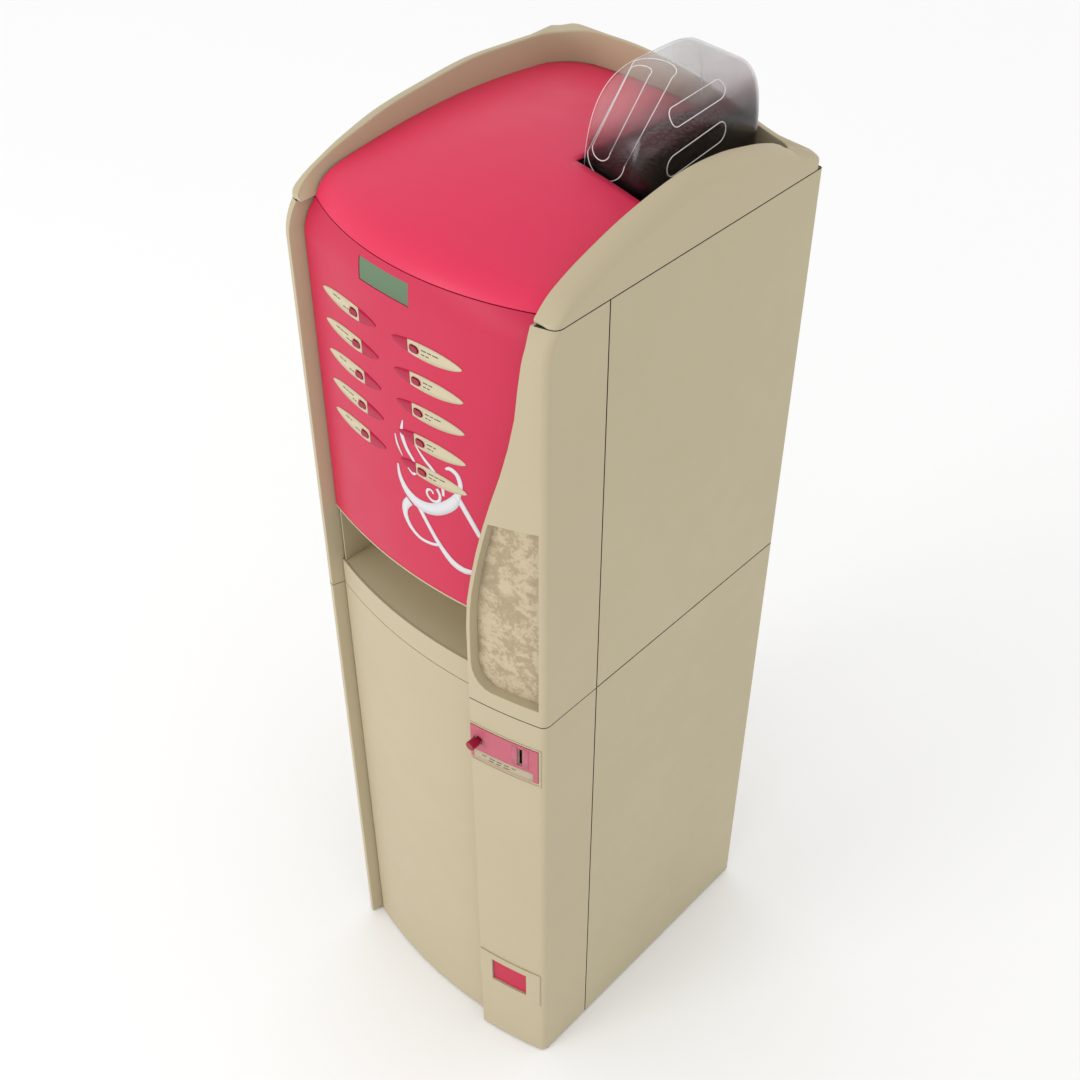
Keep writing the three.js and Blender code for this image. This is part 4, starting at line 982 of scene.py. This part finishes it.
def add_cup_picture():
    """A plain line picture of a cup with steam, printed in white on the lower right of the front."""
    build = Build()
    settings = (panel_y, FILM, 0.4 * MM)

    def stroke(points, widths):
        build.stroke([(x * MM, TOP_SEAM - drop * MM) for x, drop in points],
                     [w * MM for w in widths], *settings)

    stroke([(-25, 322), (-22, 344), (-9, 364), (12, 374), (36, 371), (60, 357), (80, 336), (91, 312)],
           [3, 8, 14, 19, 20, 19, 17, 7])
    stroke([(91, 314), (93, 298), (88, 284), (77, 279), (68, 283)], [7, 8, 8, 7, 3])
    stroke([(86, 322), (104, 348), (124, 378)], [10, 10, 9])
    stroke([(12, 378), (28, 402), (50, 431), (72, 451), (92, 456), (108, 452)], [9, 8, 9, 12, 11, 8])
    stroke([(-6, 380), (-15, 393), (-17, 410), (-8, 428), (10, 439), (32, 438), (50, 431)],
           [15, 13, 10, 8, 6, 5, 5])
    spiral = [(40 + (3 + 1.32 * k) * math.cos(0.62 * k + 0.4), 341 - (3 + 1.32 * k) * math.sin(0.62 * k + 0.4))
              for k in range(12)]
    stroke(spiral, [3.0 + 0.22 * k for k in range(12)])
    stroke([(-8, 238), (-12, 262), (-4, 284), (9, 300), (13, 314), (6, 324), (-4, 318)], [2, 7, 7, 5, 5, 4, 2])
    stroke([(13, 268), (28, 284), (46, 298), (60, 316), (62, 334)], [2, 5, 6, 6, 4])
    stroke([(-26, 270), (-23, 286), (-14, 302)], [2, 4, 2])
    build.piece("cup_picture", PRINT_WHITE, "upper_door", "tank_plastic")


def add_trims():
    """Cream edge under the pink front."""
    build = Build()
    xs = spread(PILLAR_INNER + 1 * MM, column_edge(BAY_TOP) - 1 * MM, 48)
    build.film(xs, lambda _: BAY_TOP, lambda _: BAY_TOP + 2.4 * MM, panel_y, 0.7 * MM, 0.7 * MM, 1)
    build.piece("front_edge_trim", LABEL_CREAM, "upper_door", "beige_moulding")


RING_DARK = moulded("bezel_crimson", (150, 10, 50), 0.3, coat=0.1, grain=0.02 * MM)
add_panel()
for number, centre_x, centre_z in button_centres():
    add_label(number, centre_x, centre_z)
add_cup_picture()
add_trims()


# ---- Coin column ------------------------------------------------------------------------------------------
def add_coin_print():
    low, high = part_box("coin_plate")
    face = 2.2 * MM
    pale = Build()
    slot_x = RIGHT - 40.5 * MM
    for x0, x1 in ((slot_x - 13 * MM, slot_x - 4.3 * MM), (slot_x + 4.3 * MM, slot_x + 15 * MM)):
        pale.film(spread(x0, x1, 4), lambda _: MID_SEAM - 104 * MM, lambda _: MID_SEAM - 60 * MM,
                  pillar_y, face + 0.4 * MM, 0.4 * MM, 2)
    pale.piece("coin_slot_field", moulded("slot_field", (180, 98, 114), 0.4, grain=0.02 * MM),
               "lower_door", "coin_label")
    strip = Build()
    strip.film(spread(low.x + 7 * MM, high.x - 7 * MM, 12), lambda _: low.z + 1.6 * MM,
               lambda _: low.z + 21 * MM, pillar_y, face + 0.4 * MM, 0.4 * MM, 2)
    strip.piece("coin_plate_strip", STRIP_CREAM, "lower_door", "beige_moulding")
    marks = Build()
    for row, (z, start, count) in enumerate(((low.z + 14 * MM, 22, 5), (low.z + 8 * MM, 34, 3))):
        for n in range(count):
            x = low.x + (start + n * 13) * MM
            marks.film([x, x + (7 + (n * 3 + row) % 4) * MM], lambda _: z - 0.8 * MM,
                       lambda _: z + 0.8 * MM, pillar_y, face + 0.6 * MM, 0.2 * MM, 1)
    marks.piece("coin_plate_lines", PRINT_DARK, "lower_door", "black_plastic")
    border = Build()
    x0, x1, z0, z1 = low.x - 0.6 * MM, high.x + 4 * MM, low.z - 8 * MM, high.z + 4 * MM
    bar = 2.2 * MM
    for xa, xb, za, zb in ((x0, x1, z0, z0 + bar), (x0, x1, z1 - bar, z1), (x1 - bar, x1, z0, z1)):
        border.film(spread(xa, xb, 10), lambda _: za, lambda _: zb, pillar_y, 1.4 * MM, 1.4 * MM, 2)
    frame_piece = border.piece("coin_plate_border", MATERIALS["beige_moulding"], "lower_door", "beige_moulding")
    add_bevel(frame_piece, 0.4 * MM, 2, 40)
    rim = Build()
    low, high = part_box("coin_reject_button")
    knob_x, knob_z = (low.x + high.x) / 2, (low.z + high.z) / 2
    rim.oval_ring(knob_x, knob_z, 8.25 * MM, 8.2 * MM, 2.0 * MM, pillar_y, face + 0.4 * MM, 0.4 * MM)
    rim.piece("coin_button_collar", MATERIALS["coin_label"], "lower_door", "coin_label")


add_coin_print()


# ---- Seams, tray edge and the back --------------------------------------------------------------------------
SIDE_REAR = PANEL_FRONT


def corner_path(side, start_x, end_y):
    """Plan points with their outward directions: along a pillar front, round its corner, up its side."""
    centre_x = RIGHT - CORNER_R
    reach = PILLAR_ARC[0] - CORNER_R
    middle_y = FRONT - PILLAR_ARC[1] + PILLAR_ARC[0]
    centre_y = middle_y - math.sqrt(reach ** 2 - centre_x ** 2)
    path = []
    for x in spread(start_x, centre_x, 16):
        slope = x / PILLAR_ARC[0]
        path.append((side * x, pillar_y(x, 0.0), side * slope, -math.sqrt(1 - slope * slope)))
    for angle in spread(math.acos(centre_x / reach), 0, 8):
        c, s = math.cos(angle), math.sin(angle)
        path.append((side * (centre_x + CORNER_R * c), centre_y - CORNER_R * s, side * c, -s))
    return path + [(side * RIGHT, end_y, side, 0.0)]


def add_band(build, path, z, half=0.75 * MM, rise=0.0):
    """A thin dark strip lying in a joint, as painted shade of the gap, following a plan path at one height."""
    build.loft([[(x - nx * 0.8 * MM, y - ny * 0.8 * MM + rise, z - half),
                 (x + nx * 0.12 * MM, y + ny * 0.12 * MM + rise, z - half),
                 (x + nx * 0.12 * MM, y + ny * 0.12 * MM + rise, z + half),
                 (x - nx * 0.8 * MM, y - ny * 0.8 * MM + rise, z + half)] for x, y, nx, ny in path])


def add_seams():
    """Dark strips as painted shade in the joints between the two cabinets, the crown and the side wraps of the
    doors.
    """
    cabinet = Build()
    for side in (-1, 1):
        run = [(side * RIGHT, y, side, 0.0) for y in (SIDE_REAR + 1 * MM, REAR - 1 * MM)]
        for z in (MID_SEAM, TOP_SEAM):
            add_band(cabinet, run, z)
        x0, x1 = sorted((side * (RIGHT - 0.8 * MM), side * (RIGHT + 0.1 * MM)))
        for z0, z1 in ((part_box("base_left_panel")[0].z, MID_SEAM - 1 * MM), (MID_SEAM + 1 * MM, TOP_SEAM)):
            add_block(cabinet, (x0, SIDE_REAR - 0.4 * MM, z0), (x1, SIDE_REAR + 0.3 * MM, z1))
    for z in (MID_SEAM, TOP_SEAM):
        add_band(cabinet, [(x, REAR, 0.0, 1.0) for x in (LEFT + 2 * MM, RIGHT - 2 * MM)], z)
    cabinet.piece("cabinet_seam_shade", MATERIALS["rubber_feet"], "cabinet", "rubber_feet", False)
    doors = Build()
    add_band(doors, corner_path(1, COLUMN_LEFT + 0.5 * MM, SIDE_REAR - 1 * MM), MID_SEAM)
    add_band(doors, corner_path(-1, RIGHT - 17 * MM, SIDE_REAR - 1 * MM), MID_SEAM)
    doors.piece("door_seam_shade", MATERIALS["rubber_feet"], "lower_door", "rubber_feet", False)
    upper = Build()
    add_band(upper, corner_path(1, RIGHT - RIM_RIGHT + 5 * MM, SIDE_REAR - 20 * MM), TOP_SEAM, rise=PILLAR_LEAN)
    inner = (LEFT + 25 * MM, panel_y(LEFT + 25 * MM, TOP_SEAM) - PILLAR_LEAN + 1 * MM, 0.95, -0.31)
    add_band(upper, [inner] + corner_path(-1, RIGHT - 17 * MM, SIDE_REAR - 20 * MM), TOP_SEAM,
             rise=PILLAR_LEAN)
    upper.piece("crown_seam_shade", MATERIALS["rubber_feet"], "upper_door", "rubber_feet", False)


def add_block(build, low, high):
    (x0, y0, z0), (x1, y1, z1) = low, high
    build.loft([[(x0, y0, z), (x1, y0, z), (x1, y1, z), (x0, y1, z)] for z in (z0, z1)])


def add_tray_edge():
    """Soft lip round the lift-out tray that fills its margin to the bay."""
    low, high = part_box("cup_tray")
    top, gap, lap = high.z + 0.1 * MM, 2.6 * MM, 2 * MM
    build = Build()

    def front_y(x):
        return panel_y(x, top) + 6.5 * MM

    build.loft([[(x, front_y(x) - gap, top), (x, front_y(x) + lap, top),
                 (x, front_y(x) + lap, top - 1 * MM), (x, front_y(x) - gap, top - 1 * MM)]
                for x in spread(low.x - gap, high.x + gap, 40)])
    for x0, x1 in ((low.x - gap, low.x + lap), (high.x - lap, high.x + gap)):
        add_block(build, (x0, front_y(x0) + lap, top - 1 * MM), (x1, high.y, top))
    build.piece("tray_lip", MATERIALS["tray_plastic"], "cup_tray", "tray_plastic", False)


def add_back():
    """Pressed louvres and screws on the rear panels."""
    louvres = Build()
    for foot, rows in ((MID_SEAM + 330 * MM, 9), (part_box("base_plate")[1].z + 90 * MM, 7)):
        for row in range(rows):
            z = foot + row * 16 * MM
            for x0, x1 in ((-130 * MM, -15 * MM), (15 * MM, 130 * MM)):
                louvres.loft([[(x, REAR - 0.5 * MM, z), (x, REAR + lift, z + 1 * MM),
                               (x, REAR + lift * 0.8, z + 4 * MM), (x, REAR - 0.5 * MM, z + 8 * MM)]
                              for x, lift in ((x0, 0.2 * MM), (x0 + 5 * MM, 3 * MM),
                                              (x1 - 5 * MM, 3 * MM), (x1, 0.2 * MM))])
    louvres.piece("rear_louvres", MATERIALS["beige_steel"], "cabinet", "beige_steel")
    screws = Build()
    for low, high in (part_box("unit_rear_panel"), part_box("base_rear_panel")):
        for x in (low.x + 14 * MM, 0.0, high.x - 14 * MM):
            for z in (low.z + 16 * MM, (low.z + high.z) / 2, high.z - 16 * MM):
                screws.turned((x, REAR, z), (0, 1, 0), [
                    (0.5 * MM, -0.5 * MM), (4 * MM, -0.5 * MM), (4 * MM, 0.8 * MM), (3.2 * MM, 1.8 * MM),
                    (1.6 * MM, 2.2 * MM), (1.5 * MM, 1.2 * MM), (0.1 * MM, 1.1 * MM)], 16)
    screws.piece("rear_screws", MATERIALS["lock_chrome"], "cabinet", "lock_chrome")


def add_inside():
    """Hoses, cables and the board's components, seen when the doors stand open."""
    board_low, board_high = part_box("control_board")
    chips, pads = Build(), Build()
    for n in range(9):
        x = board_low.x + (24 + (n * 53) % 196) * MM
        z = board_low.z + (30 + (n * 97) % 270) * MM
        width, height = (12 + (n * 7) % 15) * MM, (9 + (n * 5) % 12) * MM
        add_block(chips, (x, board_high.y - 0.2 * MM, z), (x + width, board_high.y + 2.4 * MM, z + height))
    for n in range(6):
        x, z = board_low.x + (30 + n * 34) * MM, board_low.z + 14 * MM
        pads.turned((x, board_high.y - 0.2 * MM, z + 12 * MM), (0, 1, 0), [
            (4 * MM, 0.0), (4 * MM, 7 * MM), (3.4 * MM, 7.6 * MM), (0.1 * MM, 7.4 * MM)], 16)
    chips.piece("board_chips", MATERIALS["black_plastic"], "upper_door", "black_plastic", False)
    pads.piece("board_capacitors", MATERIALS["bare_steel"], "upper_door", "bare_steel")

    boiler_low, boiler_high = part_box("boiler")
    brew_low, brew_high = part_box("brew_unit")
    outlet = ((boiler_low.x + boiler_high.x) / 2, (boiler_low.y + boiler_high.y) / 2, boiler_high.z - 2 * MM)
    hoses = Build()
    hoses.tube(smooth_path([
        outlet, (outlet[0], outlet[1], outlet[2] + 34 * MM),
        (outlet[0] + 40 * MM, outlet[1] + 8 * MM, outlet[2] + 60 * MM),
        (brew_low.x - 50 * MM, brew_high.y - 30 * MM, brew_low.z + 110 * MM),
        (brew_low.x - 12 * MM, brew_high.y - 60 * MM, brew_low.z + 84 * MM),
        (brew_low.x + 2 * MM, brew_high.y - 60 * MM, brew_low.z + 82 * MM)]), 4 * MM)
    tank_low, tank_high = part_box("water_tank")
    neck = ((tank_low.x + tank_high.x) / 2, (tank_low.y + tank_high.y) / 2)
    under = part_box("base_top_plate")[0].z
    hoses.tube(smooth_path([
        (neck[0], neck[1], tank_high.z - 2 * MM), (neck[0], neck[1], tank_high.z + 60 * MM),
        (neck[0] + 10 * MM, neck[1] + 50 * MM, mix(tank_high.z, under, 0.5)),
        (neck[0], neck[1] + 90 * MM, under - 60 * MM), (neck[0], neck[1] + 90 * MM, under - 1 * MM)]), 5 * MM)
    hoses.piece("water_hoses", MATERIALS["tank_plastic"], "cabinet", "tank_plastic")
    fittings = Build()
    for place, up in ((outlet, 1), ((neck[0], neck[1] + 90 * MM, under), -1), ((*neck, tank_high.z), 1)):
        fittings.turned(place, (0, 0, up), [
            (9 * MM, -2 * MM), (9 * MM, 5 * MM), (7 * MM, 6 * MM), (7 * MM, 12 * MM), (5.4 * MM, 13 * MM)], 18)
    fittings.piece("hose_fittings", MATERIALS["lock_chrome"], "cabinet", "lock_chrome")
    cables = Build()
    for n in range(3):
        x = brew_high.x + (14 + n * 4) * MM
        cables.tube(smooth_path([
            (x, brew_high.y + 20 * MM, brew_low.z + 60 * MM), (x + 12 * MM, brew_high.y + 50 * MM, brew_low.z - 40 * MM),
            (x + 6 * MM, REAR - 16 * MM, brew_low.z - 140 * MM),
            (x + 4 * MM, REAR - 14 * MM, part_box("unit_floor_plate")[1].z + 2 * MM)]), 1.6 * MM, 8)
    cables.piece("cable_loom", MATERIALS["black_plastic"], "cabinet", "black_plastic")


add_seams()
add_tray_edge()
add_back()
add_inside()


# ---- Beans --------------------------------------------------------------------------------------------------
def heap_z(x, y):
    """Top of the beans inside the dome."""
    cx, cy = (HOPPER_LOW.x + HOPPER_HIGH.x) / 2, (HOPPER_LOW.y + HOPPER_HIGH.y) / 2
    u, v = (x - cx) / (HOPPER_HIGH.x - cx), (y - cy) / (HOPPER_HIGH.y - cy)
    return HOPPER_LOW.z + 62 * MM - 16 * MM * (u * u + 0.6 * v * v) + 5 * MM * math.sin(9 * u + 4 * v)


def add_beans():
    """The heap as one body, with single beans lying on it."""
    margin = 9 * MM
    x0, x1 = HOPPER_LOW.x + margin, HOPPER_HIGH.x - margin
    y0, y1 = HOPPER_LOW.y + margin, HOPPER_HIGH.y - margin
    radius = 20 * MM
    build = Build()
    rings = []
    centre = ((x0 + x1) / 2, (y0 + y1) / 2)
    plan = []
    for i, (cx, cy) in enumerate(((x1 - radius, y1 - radius), (x0 + radius, y1 - radius),
                                  (x0 + radius, y0 + radius), (x1 - radius, y0 + radius))):
        plan += [(cx + radius * math.cos(a), cy + radius * math.sin(a))
                 for a in spread(i * math.pi / 2, (i + 1) * math.pi / 2, 6)]
    foot = HOPPER_LOW.z + 3 * MM
    rings.append([(x, y, foot) for x, y in plan])
    for t in (1.0, 0.96, 0.86, 0.7, 0.5, 0.3, 0.12):
        ring = []
        for x, y in plan:
            px, py = mix(centre[0], x, t), mix(centre[1], y, t)
            ring.append((px, py, heap_z(px, py) - (4 * MM if t == 1.0 else 0.0)))
        rings.append(ring)
    build.loft(rings)
    heap = build.piece("bean_heap", BEANS, "cabinet", "black_plastic")
    mark_sharp(heap, 70)
    beans = Build()
    rows, columns = 23, 11
    for i in range(rows):
        for j in range(columns):
            n = i * columns + j
            x = mix(x0 + 8 * MM, x1 - 8 * MM, (j + 0.5 + 0.35 * math.sin(n * 12.9898)) / columns)
            y = mix(y0 + 8 * MM, y1 - 8 * MM, (i + 0.5 + 0.35 * math.sin(n * 78.233)) / rows)
            add_bean(beans, Vector((x, y, heap_z(x, y) + 1.2 * MM)), n * 2.399)
    beans.piece("loose_beans", BEANS, "cabinet", "black_plastic")


def add_bean(build, centre, turn):
    """One bean: a half egg with a crease along its flat face."""
    rings = []
    c, s = math.cos(turn), math.sin(turn)
    for along in spread(-1, 1, 6):
        girth = math.sqrt(max(0.02, 1 - along * along))
        ring = []
        for k in range(8):
            a = 2 * math.pi * k / 8
            across = 3.6 * MM * girth * math.cos(a)
            up = 2.6 * MM * girth * math.sin(a) * (0.55 if k == 2 else 1.0)
            lengthwise = 5.4 * MM * along
            ring.append((centre.x + c * lengthwise - s * across, centre.y + s * lengthwise + c * across,
                         centre.z + up))
        rings.append(ring)
    build.loft(rings)


add_beans()


# ---- Relief on the dome, with painted highlights --------------------------------------------------------------
def dome_surface(x, angle):
    """Point of the outer skin at x, counted round the dome as in dome_point."""
    reach = min(x - HOPPER_LOW.x, HOPPER_HIGH.x - x)
    radius = DOME_LEFT_R if x - HOPPER_LOW.x < HOPPER_HIGH.x - x else DOME_RIGHT_R
    short = max(0.0, radius - reach)
    return dome_point(x, angle, radius - math.sqrt(radius * radius - short * short))


def dome_walk(x, travel):
    """Point of the outer skin at x, so far along its outline from the front foot."""
    before = dome_surface(x, math.pi)
    for angle in spread(math.pi, 0, 180)[1:]:
        point = dome_surface(x, angle)
        step = (Vector(point) - Vector(before)).length
        if step >= travel:
            return tuple(Vector(before).lerp(Vector(point), travel / step))
        travel -= step
        before = point
    return before


def side_point(y, z):
    """Point of the outer skin on the right at (y, z): on the face, or on its rolled edge above."""
    angle = math.pi / 2
    for _ in range(30):
        height = dome_point(HOPPER_HIGH.x, angle, 0.0)
        angle += (height[1] - y) * 4
    low, high = HOPPER_HIGH.x - DOME_RIGHT_R, HOPPER_HIGH.x
    for _ in range(24):
        middle = (low + high) / 2
        if dome_surface(middle, angle)[2] > z:
            low = middle
        else:
            high = middle
    return (high, y, z)


def capsule(start, end, radius, count=48):
    """Outline of a slot with round ends between two points, as (u, v) pairs."""
    start, end = Vector(start), Vector(end)
    along = (end - start).normalized()
    across = Vector((-along.y, along.x))
    points = []
    for k in range(count):
        a = 2 * math.pi * (k + 0.5) / count
        centre = end if math.cos(a) > 0 else start
        points.append(centre + radius * (math.cos(a) * along + math.sin(a) * across))
    return points + points[:1]


def add_dome_relief():
    """Fine raised outlines moulded into the dome, coloured white as painted highlight: slots on its right, long
    loops over its front roll, and a painted highlight line along its left edge.
    """
    bead = 0.7 * MM
    side = Build()
    for start, end, radius in (((54, 70), (146, 80), 15), ((58, 134), (142, 140), 12)):
        path = [side_point(HOPPER_LOW.y + p.x * MM, HOPPER_LOW.z + p.y * MM)
                for p in capsule(start, end, radius)]
        side.tube(path, bead, 6)
    side.piece("dome_side_relief_highlight", RELIEF_HIGHLIGHT, "hopper_dome", "hopper_clear")
    front = Build()
    for start, end, radius in (((41, 74), (41, 210), 31), ((31.5, 82), (31.5, 198), 15)):
        path = [dome_walk(HOPPER_LOW.x + p.x * MM, p.y * MM) for p in capsule(start, end, radius)]
        front.tube(path, bead, 6)
    # A thin white line just inside the dome's left edge: a painted highlight.
    edge = HOPPER_LOW.x + 2.5 * MM
    front.tube([dome_surface(edge, a) for a in spread(math.pi - 0.02, 0.1, 60)], 0.5 * MM, 6)
    front.piece("dome_front_relief_highlight", RELIEF_HIGHLIGHT, "hopper_dome", "hopper_clear")


# White of the raised outlines: painted highlight on clear ridges.
RELIEF_HIGHLIGHT = moulded("dome_relief_highlight", (226, 222, 220), 0.16, coat=0.4, grain=0.01 * MM)
add_dome_relief()
